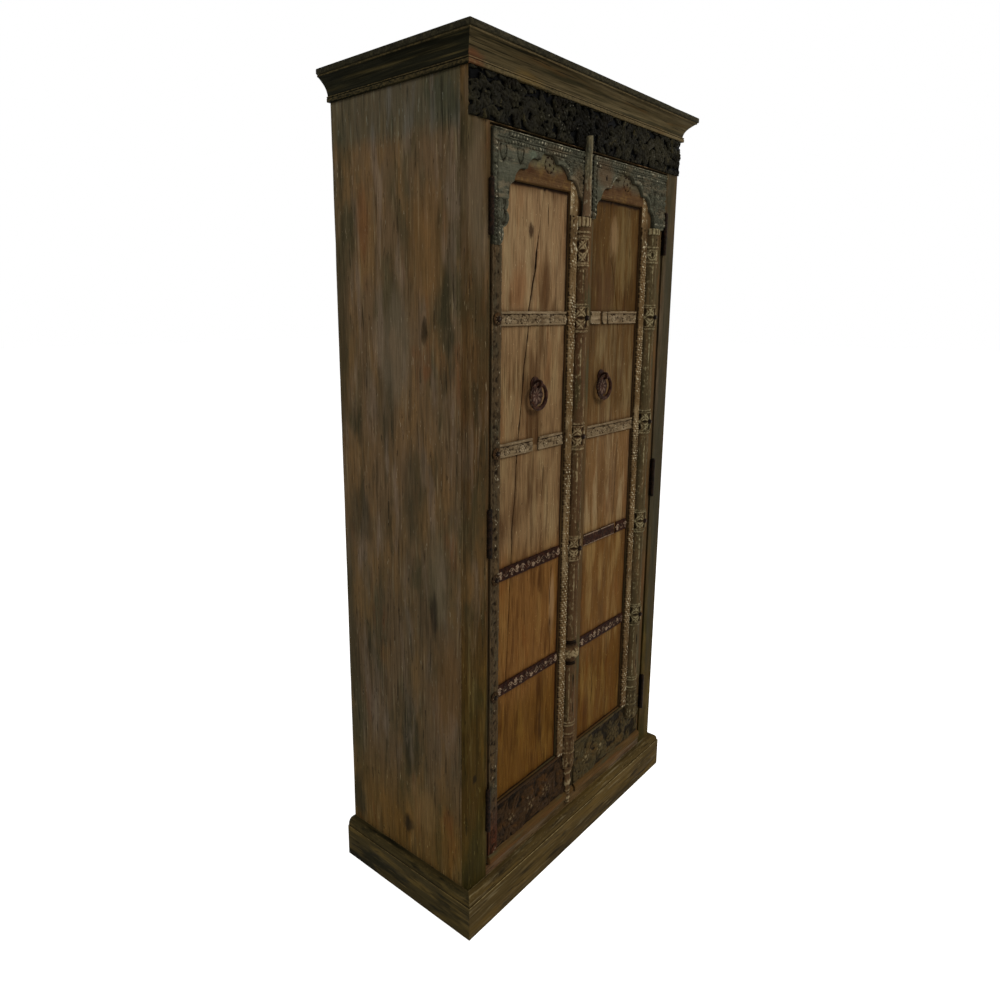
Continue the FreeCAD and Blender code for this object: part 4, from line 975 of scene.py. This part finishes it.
def make_strap(name, low, high, pattern, loose, *finish, **more):
    """A strap across the planks with a raised pattern on its face. Its long edges are worn in here
    and there, and its ends are torn by up to a few millimetres times loose."""
    slant = 3.0
    x, z = np.meshgrid(flat_range(low[0], high[0], 1.2), flat_range(low[2], high[2], 1.2))
    u, w = x - low[0], z - (low[2] + high[2]) / 2
    relief = pattern(u, w, high[0] - low[0], high[2] - low[2])
    rim = np.minimum(np.minimum(u, high[0] - x), np.minimum(z - low[2], high[2] - z))
    depth = high[1] - low[1] - 1.2
    y = low[1] + 0.2 + (depth - 1) * (1 - np.clip(relief, 0, 1)) + 0.9 * np.exp(-rim / 1.3)
    y = np.minimum(y, high[1] - 0.3)
    share = 2 * w / (high[2] - low[2])
    z = z - 1.8 * share ** 8 * np.sign(share) * np.clip(hills(x, 0 * z + 40 * np.sign(share), 16, 3), 0, 1)
    along = u / (high[0] - low[0])
    torn = 5.0 * hills(z, 0 * z + low[0], 9, 6) + slant * share
    x = x + np.where(along < 0.5, np.abs(torn) * (1 - 2 * along) ** 6, -np.abs(torn) * (2 * along - 1) ** 6) * loose
    carved(name, x, y, z, high[1], relief, *finish, **more)


def wood_strap_pattern(u, w, length, height):
    """A thin fillet above a dark groove, and below it a band of round flowers among worn leaves."""
    band = np.maximum(0.4 + 0.25 * hills(u, w, 8, 5), 0.9 * foliage(u, w, ((6, -9), (length - 6, 5)), 16, 18, 45, 0.1))
    for centre in np.arange(28, length, 52.0):
        heart = np.hypot(u - centre, w + 3) < 10
        band = np.where(heart, flower(u, w, (centre, -3), 9.5, 7), band)
    band = np.maximum(band, 0.75 * dome((w + height / 2 - 2) / 2.2))
    groove = 1 - np.exp(-((w - height / 2 + 6.5) / 1.6) ** 4)
    return np.where(w > height / 2 - 5, 0.75, band) * (0.4 + 0.6 * groove) + 0.12 * hills(u, w, 5, 9)


def plain_strap_pattern(u, w, length, height):
    """Nearly plain, with a worn raised edge above and below."""
    edge = 0.9 * dome((np.abs(w) - (height / 2 - 2)) / 2)
    return np.maximum(0.55 + 0.14 * hills(u, w, 9, 5), edge) + 0.12 * hills(u, w, 4, 9)


def iron_strap_pattern(u, w, length, height):
    """A stamped wave with a small flower in each of its bends, unevenly worn."""
    faded = np.clip(0.9 + 0.6 * hills(u, w, 26, 21), 0.45, 1.1)
    step, bend = np.mod(u, 20) - 10, np.where(np.mod(u, 40) < 20, 1.0, -1.0)
    wave = 0.8 * dome((w - 6.5 * np.sin(np.pi * u / 20)) / 2.4)
    petals = flower(step, w * bend, (0, -3.5), 7.5, 5)
    return 0.3 + 0.75 * np.maximum(wave, petals) * faded + 0.16 * hills(u, w, 5, 9)


# Where each strap is broken into parts: start and end as shares of its length, and its pattern
WHOLE = ((0.0, 1.0, None),)
STRAP_PARTS = {
    ("left", 2): ((0.0, 0.51, None), (0.59, 1.0, None)),
    ("right", 1): ((0.0, 0.7, plain_strap_pattern), (0.72, 1.0, None)),
    ("right", 3): ((0.0, 0.2, plain_strap_pattern), (0.24, 0.34, plain_strap_pattern), (0.35, 1.0, None)),
}


def make_straps(side_name):
    """Four straps a leaf: two of patterned iron below, two of carved wood above."""
    body = side_name + "_leaf"
    for index, z in enumerate(STRAPS):
        kind = "iron" if index < 2 else "wood"
        node = side_name + "_" + kind + "_straps"
        low, high = box_mm(node)
        low, high = [low[0], low[1], z - 15], [high[0], high[1], z + 15]
        finish = (body, "old_iron", STRAP_IRON) if kind == "iron" else (body, "pale_carving", STRAP_WOOD)
        name = side_name + "_" + kind + "_strap_" + str(index + 1)
        parts = STRAP_PARTS.get((side_name, index), WHOLE)
        length = high[0] - low[0]
        for part, (start, end, pattern) in enumerate(parts):
            nodes = [node] if index in (0, 2) and part == 0 else []
            pattern = pattern or (iron_strap_pattern if kind == "iron" else wood_strap_pattern)
            corners = ([low[0] + start * length] + low[1:], [low[0] + end * length] + high[1:])
            make_strap(name + ("_" + str(part) if part else ""), *corners, pattern, 1.0 if len(parts) > 1 else 0.2,
                       *finish, nodes=nodes)


def make_kick(side_name):
    """Carved board over the bottom rail, with a moulding along its foot."""
    low, high = box_mm(side_name + "_kick_carving")
    planks = box_mm(side_name + "_planks")
    body = side_name + "_leaf"
    moulding_top = low[2] + 22.0
    start = planks[0][0] if side_name == "left" else low[0]
    end = high[0] if side_name == "left" else box_mm(side_name + "_rope_strip")[0][0] + 29
    if side_name == "right":
        end = high[0] - 5
    x, z = np.meshgrid(flat_range(start, end, 1.3), flat_range(moulding_top, high[2], 1.3))
    wood = LEFT_KICK_WOOD if side_name == "left" else RIGHT_KICK_WOOD
    middle = (planks[0][0] + planks[1][0]) / 2
    centre_z = moulding_top + 0.46 * (high[2] - moulding_top)
    layers = [0.3 + 0.14 * hills(x, z, 12, 5), 0.7 * dome((high[2] - 4 - z) / 4)]
    layers.append(0.85 * foliage(x, z, ((start, moulding_top + 12), (end, high[2] - 18)), 36, 56, 47, 0.1))
    for hand in (-1, 0, 1):
        layers.append(flower(x, z, (middle + hand * 74, centre_z), 24 if hand else 29, 7, hand))
    faded = np.clip(0.85 + 0.7 * hills(x, z, 60, 33), 0.55, 1)
    relief = np.maximum.reduce(layers) * faded + 0.1 * hills(x, z, 5, 29)
    front = MEMBER_FRONT - 8.0
    y = front + 7.0 * (1 - np.clip(relief, 0, 1))
    carved(side_name + "_kick_panel", x, y, z, high[1], relief, body, "green_carving", wood,
           nodes=[side_name + "_kick_carving"])
    section = [(0, 0), (9, 0), (11, 2), (11, 8), (9.5, 9.5), (9.5, 11), (10.5, 12), (9.5, 15), (7, 18.5),
               (4, 21), (0, 22)]
    out, up = np.array(section).T
    steps = flat_range(low[0], high[0], 12)
    sections = np.zeros((len(steps), len(section), 3))
    sections[:, :, 0] = steps[:, None]
    sections[:, :, 1] = MEMBER_FRONT - out
    sections[:, :, 2] = low[2] + up
    bar(side_name + "_kick_moulding", sections, np.full(sections.shape[:2], 0.66), body, "green_carving",
        MEMBER_CROSS_WOOD, sharp=30)


def turned_half(name, x, radius, bands, *finish, **more):
    """A half column: for an angle across its face and a height, the radius of the shaft plus
    what each band adds and less what its carving takes away. Each band is a bottom, a top, an
    added radius and a carving: a function of the way round, the way up and the band's height."""
    low, high = bands[0][0], max(band[1] for band in bands)
    z = flat_range(low, high, 1.5)[:, None]
    angle = np.linspace(0, np.pi, 41)[None]
    reach = radius + 0 * z + 0 * angle
    wear = 0.5 + 0 * reach
    arc = radius * (np.pi / 2 - angle)
    for bottom, top, growth, carving in bands:
        within = ((z >= bottom) & (z <= top)) & (angle > -1)
        depth, cut = carving(arc, z - (bottom + top) / 2, top - bottom)
        edge = np.clip(np.minimum(z - bottom, top - z) / 2.5, 0, 1)
        reach = np.where(within, radius + growth * edge ** 0.6 - depth * (1 - cut), reach)
        wear = np.where(within, cut, wear)
    reach = reach + 0.25 * hills(arc, z, 30, 5) + 0.12 * hills(arc, z, 5, 6)
    wear = wear + 0.1 * hills(arc, z, 9, 7)
    px = x - reach * np.cos(angle)
    py = MEMBER_FRONT - reach * np.sin(angle) ** 0.85
    pz = np.broadcast_to(z, px.shape)
    carved(name, px, py, pz, MEMBER_FRONT + 1, wear, *finish, **more)


def smooth_band(arc, up, height):
    """No carving, rubbed pale."""
    return 0.0, 0.62 + 0 * arc + 0 * up


def ring_band(arc, up, height):
    """A plain round ring, unevenly rubbed on its crown."""
    crown = np.sqrt(np.clip(1 - (2 * up / height) ** 2, 0, 1))
    return 0.6, 0.4 + 0.42 * crown + 0.16 * hills(arc, up, 10, 26)


def neck_band(arc, up, height):
    """A dark groove between a knob and the shaft."""
    return 2.5, 0.05 + 0 * arc + 0 * up


def fluted_band(arc, up, height):
    """Upright flutes."""
    return 2.0, 0.35 + 0.65 * np.abs(np.sin(np.pi * arc / 9.0)) ** 0.6 + 0 * up


def leafy_band(arc, up, height):
    """Two tiers of short upright leaves above a lumpy foot."""
    step = np.mod(up + height / 2, height / 2) - height / 4
    layers = [0.36 + 0.15 * hills(arc, up, 9, 25)]
    for middle in (-20, 0, 20):
        layers.append(0.85 * leaf(arc, step, (middle, -height / 4), math.pi / 2, height * 0.48, 21, 0, 3))
    layers.append(0.8 * dome((height / 4 - np.abs(step)) / 4) + 0 * arc)
    return 4.0, np.maximum.reduce(layers)


def cross_band(arc, up, height):
    """Four leaves from the middle of a boss to its corners, with dark hollows between them."""
    layers = [0.22 + 0 * arc + 0 * up]
    for middle in (-27, 0, 27):
        for turn in (0.25, 0.75, 1.25, 1.75):
            layers.append(leaf(arc, up, (middle, 0), turn * math.pi, 0.72 * height, 15, 0, 3))
        layers.append(dome(np.hypot(arc - middle, up) / 5))
    layers.append(0.9 * dome((height / 2 - np.abs(up)) / 4) + 0 * arc)
    return 5.0, np.maximum.reduce(layers)


def panel_band(arc, up, height):
    """A long sunk panel between two raised edges, with a low rib up its middle."""
    inside = np.abs(up) < height / 2 - 5
    worn = np.clip(0.85 + 0.3 * hills(arc, up / 3, 22, 18), 0.7, 1)
    edges = np.maximum(worn * dome((np.abs(arc) - 10) / 2.2), 0.66 * dome(arc / 3.5))
    sunk = np.where(np.abs(arc) > 10, 0.62, 0.46)
    return 2.2, np.where(inside, np.maximum(sunk, edges), 0.66) + 0.16 * hills(arc, up, 6, 17)


def slot_band(arc, up, height):
    """Smooth and long, with a raised edge at each side and two dark upright slots."""
    edge = 0.85 * dome((np.abs(arc) - 15) / 2) + 0 * up
    slots = np.exp(-(arc / 3) ** 2) * np.exp(-((np.abs(up + 4) - height / 4) / (height / 9)) ** 4)
    return 3.0, np.maximum(0.58 + 0.14 * hills(arc, up / 3, 9, 27), edge) - 0.5 * slots


def petal_knob(arc, up, height):
    """A ball with a flower on its face: its profile is a circle, small petals ring its front, and
    grooves run round its sides."""
    ball = np.sqrt(np.clip(1 - (2 * up / height) ** 2, 0, 1))
    petals = np.zeros(np.broadcast(arc, up).shape)
    for middle in (-24, 0, 24):
        petals = np.maximum(petals, flower(arc, up, (middle, 1), 16, 7, 0.5))
    return 10.0, np.clip(ball * (0.5 + 0.5 * petals), 0, 1)


def column_bands(foot, has_knob):
    """Bands that both half columns share: a leafy foot, two rings, a boss at each strap, or a knob
    at the lowest one, and sunk panels between them."""
    bands = [(foot, foot + 93, 4.0, leafy_band)]
    for rise in (97, 120, 128):
        bands.append((foot + rise, foot + rise + 7, 2.5, ring_band))
    bands.append((foot + 138, STRAPS[0] - 36, 0.5, slot_band))
    for index, z in enumerate(STRAPS):
        if index == 0 and has_knob:
            bands += [(z - 33, z - 26, 0, neck_band), (z + 26, z + 33, 0, neck_band),
                      (z - 26, z + 26, 7.8, petal_knob)]
        else:
            bands += [(z - 34, z - 26, 3.0, ring_band), (z - 26, z + 26, 5.0, cross_band),
                      (z + 26, z + 34, 3.0, ring_band)]
        if index < 3:
            bands.append((z + 38, STRAPS[index + 1] - 38, 0.3, panel_band))
    return bands


def make_columns():
    """The middle half column with its post and tail, and the pilaster of the right leaf."""
    low, high = box_mm("left_column")
    x = (low[0] + high[0]) / 2
    foot = PLANKS_LOW - 46.5
    bands = column_bands(foot, True)
    bands += [(1408, 1481, 0.3, panel_band), (1483, 1490, 2.5, ring_band), (1490, 1545, 1.5, cross_band),
              (1545, 1553, 3.0, ring_band),
              (1555, 1562, 3.0, ring_band), (COLUMN_TOP - 22, COLUMN_TOP, 4.0, fluted_band)]
    turned_half("left_column_shaft", x, 18.0, bands, "left_leaf", "green_carving", COLUMN_WOOD,
                nodes=["left_column"])
    x_right = sum(c[0] for c in box_mm("right_column")) / 2
    bands = column_bands(foot, False)
    bands += [(1408, 1500, 0.3, panel_band), (1504, 1512, 2.5, ring_band), (1513, 1540, 1.0, cross_band),
              (1541, 1549, 2.5, ring_band), (1550, 1574, 1.5, slot_band),
              (COLUMN_TOP - 16, COLUMN_TOP, 4.0, fluted_band)]
    turned_half("right_column_shaft", x_right, 20.0, bands, "right_leaf", "green_carving", PILASTER_WOOD,
                nodes=["right_column"])
    # Post over the arch board and the frieze: a round bar, flat behind, that tapers to a blunt tip
    z = flat_range(COLUMN_TOP, high[2], 2.0)[:, None]
    angle = np.linspace(0, np.pi, 25)[None]
    share = (z - COLUMN_TOP) / (high[2] - COLUMN_TOP)
    radius = 15.0 - 6.5 * np.clip(share / 0.35, 0, 1) ** 0.6 - 2 * np.clip((share - 0.97) / 0.03, 0, 1)
    ribs = 0.6 * np.abs(np.sin(3 * angle)) - 0.4 * hills(10 * angle, z, 8, 3)
    rear = np.where(z > high[2] - 34, -193.0, ARCH_FRONT + 1)
    px = x - (radius - ribs) * np.cos(angle)
    py = np.minimum(rear, rear + 0 * z) - np.clip(12 - (ARCH_FRONT + 1 - rear), 4, 12) * np.sin(angle)
    wear = 0.6 + 0.2 * np.abs(np.sin(3 * angle)) + 0.16 * hills(10 * angle, z, 12, 5)
    carved("left_column_post", px, py, np.broadcast_to(z, px.shape), ARCH_FRONT + 0.5, wear, "left_leaf",
           "green_carving", POST_WOOD)
    # Tail over the sill and the plinth: flat behind, rounded in front, turned with rings and a bulb
    z = flat_range(low[2], foot, 1.5)[:, None]
    share = (z - low[2]) / (foot - low[2])
    half = 5.5 + 9.5 * share ** 1.4
    ringed = 0 * z
    for place, wide, thick in ((6, 2.0, 4), (17, 3.2, 5), (31, 1.6, 3), (39, 2.2, 3), (62, 3.0, 9), (92, 2.4, 4)):
        ringed = ringed + wide * np.exp(-((z - low[2] - place) / thick) ** 2)
    px = x - (half + 0.9 * ringed) * np.cos(angle)
    relief = np.abs(np.cos(2 * angle)) ** 0.5
    py = -181.0 - (6.2 + 0.7 * ringed - 1.2 * (1 - relief)) * np.sin(angle) ** 0.6
    carved("left_column_tail", px, py, np.broadcast_to(z, px.shape), -181.0,
           0.35 + 0.2 * relief + 0.16 * ringed, "left_leaf", "green_carving", COLUMN_WOOD)


def make_stud(name, centre, radius, height, *finish, **more):
    """A forged stud: rings of points from its rim to its crown, on a dome with flat facets."""
    share = np.linspace(1, 0.06, 7)[:, None]
    angle = np.linspace(0, 2 * np.pi, 17)[None, :-1]
    rough = 1 + 0.05 * np.cos(5 * angle + centre[2])
    x = centre[0] + radius * share * rough * np.cos(angle)
    z = centre[2] + radius * share * rough * np.sin(angle)
    y = centre[1] - height * np.sqrt(np.clip(1 - share ** 2.4, 0, 1)) + 0 * angle
    sections = np.stack([x, y, z], -1)
    back = sections[:1].copy()
    back[:, :, 1] = centre[1] + 0.2
    bar(name, np.concatenate([back, sections]), np.tile(np.linspace(0.3, 0.9, 8)[:, None], (1, 16)), *finish, **more)


def make_rosette(name, centre, radius, thickness, *finish, **more):
    """A flat flower boss: petals on a disc, raised towards its heart."""
    share = np.linspace(1, 0.03, 12)[:, None]
    angle = np.linspace(0, 2 * np.pi, 49)[None, :-1]
    edge = 0.88 + 0.12 * np.abs(np.cos(4 * angle))
    x = centre[0] + radius * share * edge * np.cos(angle)
    z = centre[2] + radius * share * edge * np.sin(angle)
    relief = 0.4 + 0.6 * np.abs(np.cos(4 * angle)) * np.sin(np.pi * share) + 0 * share
    y = centre[1] - thickness * relief
    sections = np.stack([x, y, z], -1)
    back = sections[:1].copy()
    back[:, :, 1] = centre[1] + 0.2
    wear = np.concatenate([relief[:1], relief])
    bar(name, np.concatenate([back, sections]), wear, *finish, **more)


def make_studs():
    """Studs on the bosses, and rosettes with studs down the beaded strip."""
    strip = box_mm("left_rosettes")
    middle = (strip[0][0] + strip[1][0]) / 2
    for side_name in ("left", "right"):
        low, high = box_mm(side_name + "_column")
        x = (low[0] + high[0]) / 2
        radius = 18.0 if side_name == "left" else 20.0
        for index, z in enumerate(STRAPS):
            nodes = [side_name + "_studs"] if index == 1 else []
            if index or side_name == "right":
                make_stud(side_name + "_stud_" + str(index), (x, MEMBER_FRONT - radius - 4.5, z), 6.5, 6,
                          side_name + "_leaf", "old_iron", OLD_IRON, nodes=nodes)
            if side_name == "left":
                make_rosette("left_rosette_" + str(index), (middle, MEMBER_FRONT - 8, z), 13, 3, "left_leaf",
                             "green_carving", LEFT_KICK_WOOD, nodes=["left_rosettes"] if index == 0 else [])
                make_stud("left_strip_stud_" + str(index), (middle, MEMBER_FRONT - 9.5, z), 6, 5.5,
                          "left_leaf", "old_iron", OLD_IRON)


def make_ring(side_name):
    """The ring pull and the plate behind it. The ring is a round bar bent to a circle, thinner at
    the top where it has worn in its eye: its thickness follows a cosine of the turn."""
    low, high = box_mm(side_name + "_ring")
    centre = [(a + b) / 2 for a, b in zip(low, high)]
    make_rosette(side_name + "_ring_plate", (centre[0] + 6, PLANK_FRONT, centre[2] + 1), 25, 2.5,
                 side_name + "_leaf", "ring_iron", PLATE_IRON)
    wire = (high[1] - low[1]) / 2
    pull = (high[0] - low[0]) / 2 - wire
    turn = np.linspace(0, 2 * np.pi, 73)[:-1, None]
    angle = np.linspace(0, 2 * np.pi, 17)[None, :-1]
    thick = wire * (1.13 - 0.17 * np.cos(turn) + 0.03 * np.cos(9 * turn))
    x = centre[0] + (pull + thick * np.cos(angle)) * np.sin(turn)
    z = centre[2] + (pull + thick * np.cos(angle)) * np.cos(turn)
    y = centre[1] + thick * np.sin(angle)
    points = np.stack([x, y, z], -1).reshape(-1, 3)
    i, j = np.mgrid[0:72, 0:16]
    a, b = i * 16 + j, i * 16 + (j + 1) % 16
    quads = np.stack([a, b, (b + 16) % 1152, (a + 16) % 1152], -1).reshape(-1, 4)
    make_piece(side_name + "_ring_pull", points, quads, [], side_name + "_ring", "ring_iron", RING_IRON,
               nodes=[side_name + "_ring"], wear=np.broadcast_to(0.5 + 0.2 * np.cos(angle), x.shape).reshape(-1))


def make_leaf(side_name):
    """The frame, planks, straps, rope strip, kick board, hinge irons and ring of one leaf."""
    body = side_name + "_leaf"
    softened(side_name + "_hinge_stile", body, MEMBER_WOOD)
    softened(side_name + "_meeting_stile", body, MEMBER_WOOD)
    softened(side_name + "_rails", body, MEMBER_CROSS_WOOD)
    cracked_planks(side_name, CRACKS[side_name])
    make_straps(side_name)
    make_rope_strip(side_name)
    make_kick(side_name)
    softened(side_name + "_leaf_hinge_plates", body, OLD_IRON, 0.3)
    softened(side_name + "_leaf_hinge_screws", body, OLD_IRON, 0.2)
    softened(side_name + "_ring_eye", body, RING_IRON, 0.5)
    make_ring(side_name)


def make_irons():
    """Frame halves of the hinges, their screws and pins."""
    softened("frame_hinge_plates", "cabinet", OLD_IRON, 0.3)
    softened("frame_hinge_screws", "cabinet", OLD_IRON, 0.2)
    softened("hinge_pins", "cabinet", OLD_IRON, 0.3)


# Floor, lights and camera

# Camera found from fifteen corners of the cupboard: place in metres, turns in degrees
CAMERA_PLACE = (-1.49313, -1.12819, 1.38516)
CAMERA_YAW = 48.755
CAMERA_PITCH = 11.635
CAMERA_ROLL = -0.038
FOCAL_PIXELS = 735.13
CENTRE_PIXELS = (471.10, 462.60)
PICTURE_PIXELS = 1000.0
SENSOR_MM = 36.0


def place_camera():
    """Camera at the viewpoint, with its axis off the middle of the picture by the shift."""
    yaw, pitch = math.radians(CAMERA_YAW), math.radians(CAMERA_PITCH)
    ahead = Vector((math.sin(yaw) * math.cos(pitch), math.cos(yaw) * math.cos(pitch), -math.sin(pitch)))
    right = Vector((math.cos(yaw), -math.sin(yaw), 0))
    up = right.cross(ahead)
    turn = Matrix((right, up, -ahead)).transposed()
    turn = Matrix.Rotation(math.radians(CAMERA_ROLL), 3, ahead) @ turn
    data = bpy.data.cameras.new("camera")
    data.sensor_width = SENSOR_MM
    data.lens = FOCAL_PIXELS * SENSOR_MM / PICTURE_PIXELS
    data.shift_x = (PICTURE_PIXELS / 2 - CENTRE_PIXELS[0]) / PICTURE_PIXELS
    data.shift_y = (CENTRE_PIXELS[1] - PICTURE_PIXELS / 2) / PICTURE_PIXELS
    camera = bpy.data.objects.new("camera", data)
    camera.matrix_world = Matrix.Translation(CAMERA_PLACE) @ turn.to_4x4()
    bpy.context.scene.collection.objects.link(camera)
    bpy.context.scene.camera = camera


def area_light(name, place, target, size, power):
    """A square soft box that faces a target."""
    data = bpy.data.lights.new(name, "AREA")
    data.size = size
    data.energy = power
    lamp = bpy.data.objects.new(name, data)
    way = Vector(target) - Vector(place)
    lamp.matrix_world = Matrix.Translation(place) @ way.to_track_quat("-Z", "Y").to_matrix().to_4x4()
    bpy.context.scene.collection.objects.link(lamp)


def seen_share(tree):
    """1 for rays from the camera and for mirrored or refracted ones, 0 for light itself."""
    path = add(tree, "ShaderNodeLightPath")
    both = add(tree, "ShaderNodeMath", {0: path.outputs["Is Camera Ray"], 1: path.outputs["Is Glossy Ray"]},
               operation="MAXIMUM").outputs[0]
    return add(tree, "ShaderNodeMath", {0: both, 1: path.outputs["Is Transmission Ray"]},
               operation="MAXIMUM").outputs[0]


def make_stage():
    """Pale floor, white surroundings and soft light."""
    half = 30.0
    mesh = bpy.data.meshes.new("floor")
    mesh.from_pydata([(-half, -half, 0), (half, -half, 0), (half, half, 0), (-half, half, 0)], [], [(0, 1, 2, 3)])
    floor = bpy.data.objects.new("floor", mesh)
    bpy.context.scene.collection.objects.link(floor)
    pale = bpy.data.materials.new("pale floor")
    pale.use_nodes = True
    tree = pale.node_tree
    shader = tree.nodes["Principled BSDF"]
    shader.inputs["Base Color"].default_value = linear("F2F1EE")
    shader.inputs["Roughness"].default_value = 0.9
    glow = add(tree, "ShaderNodeEmission", {"Color": (1, 1, 1, 1), "Strength": times(tree, seen_share(tree), 0.72)})
    both = add(tree, "ShaderNodeAddShader", {0: shader.outputs[0], 1: glow.outputs[0]})
    tree.links.new(both.outputs[0], tree.nodes["Material Output"].inputs["Surface"])
    mesh.materials.append(pale)
    world = bpy.context.scene.world or bpy.data.worlds.new("world")
    bpy.context.scene.world = world
    world.use_nodes = True
    tree = world.node_tree
    tree.nodes.clear()
    light = add(tree, "ShaderNodeBackground", {"Color": (1, 1, 1, 1), "Strength": 0.34})
    seen = add(tree, "ShaderNodeBackground", {"Color": (1, 1, 1, 1), "Strength": 1.0})
    mix = add(tree, "ShaderNodeMixShader", {0: seen_share(tree), 1: light.outputs[0], 2: seen.outputs[0]})
    output = add(tree, "ShaderNodeOutputWorld", {"Surface": mix.outputs[0]})
    output.is_active_output = True
    area_light("key", (0.4, -3.4, 4.0), (0, 0, 1.0), 1.4, 120)
    area_light("fill", (2.8, -2.6, 2.4), (0, 0, 0.9), 2.4, 30)
    area_light("side", (-3.6, 0.2, 3.0), (0, 0, 0.9), 1.8, 75)


make_boards()
make_irons()
make_mouldings()
make_frieze()
for side in ("left", "right"):
    make_leaf(side)
make_arch("left", box_mm("left_planks")[0][0] + ARCH_FOOT, sum(c[0] for c in box_mm("left_column")) / 2)
make_arch("right", box_mm("right_meeting_stile")[0][0] + ARCH_FOOT, sum(c[0] for c in box_mm("right_column")) / 2)
make_bead_strip()
make_columns()
make_studs()
make_stage()
place_camera()
bpy.context.scene.view_settings.view_transform = "Standard"
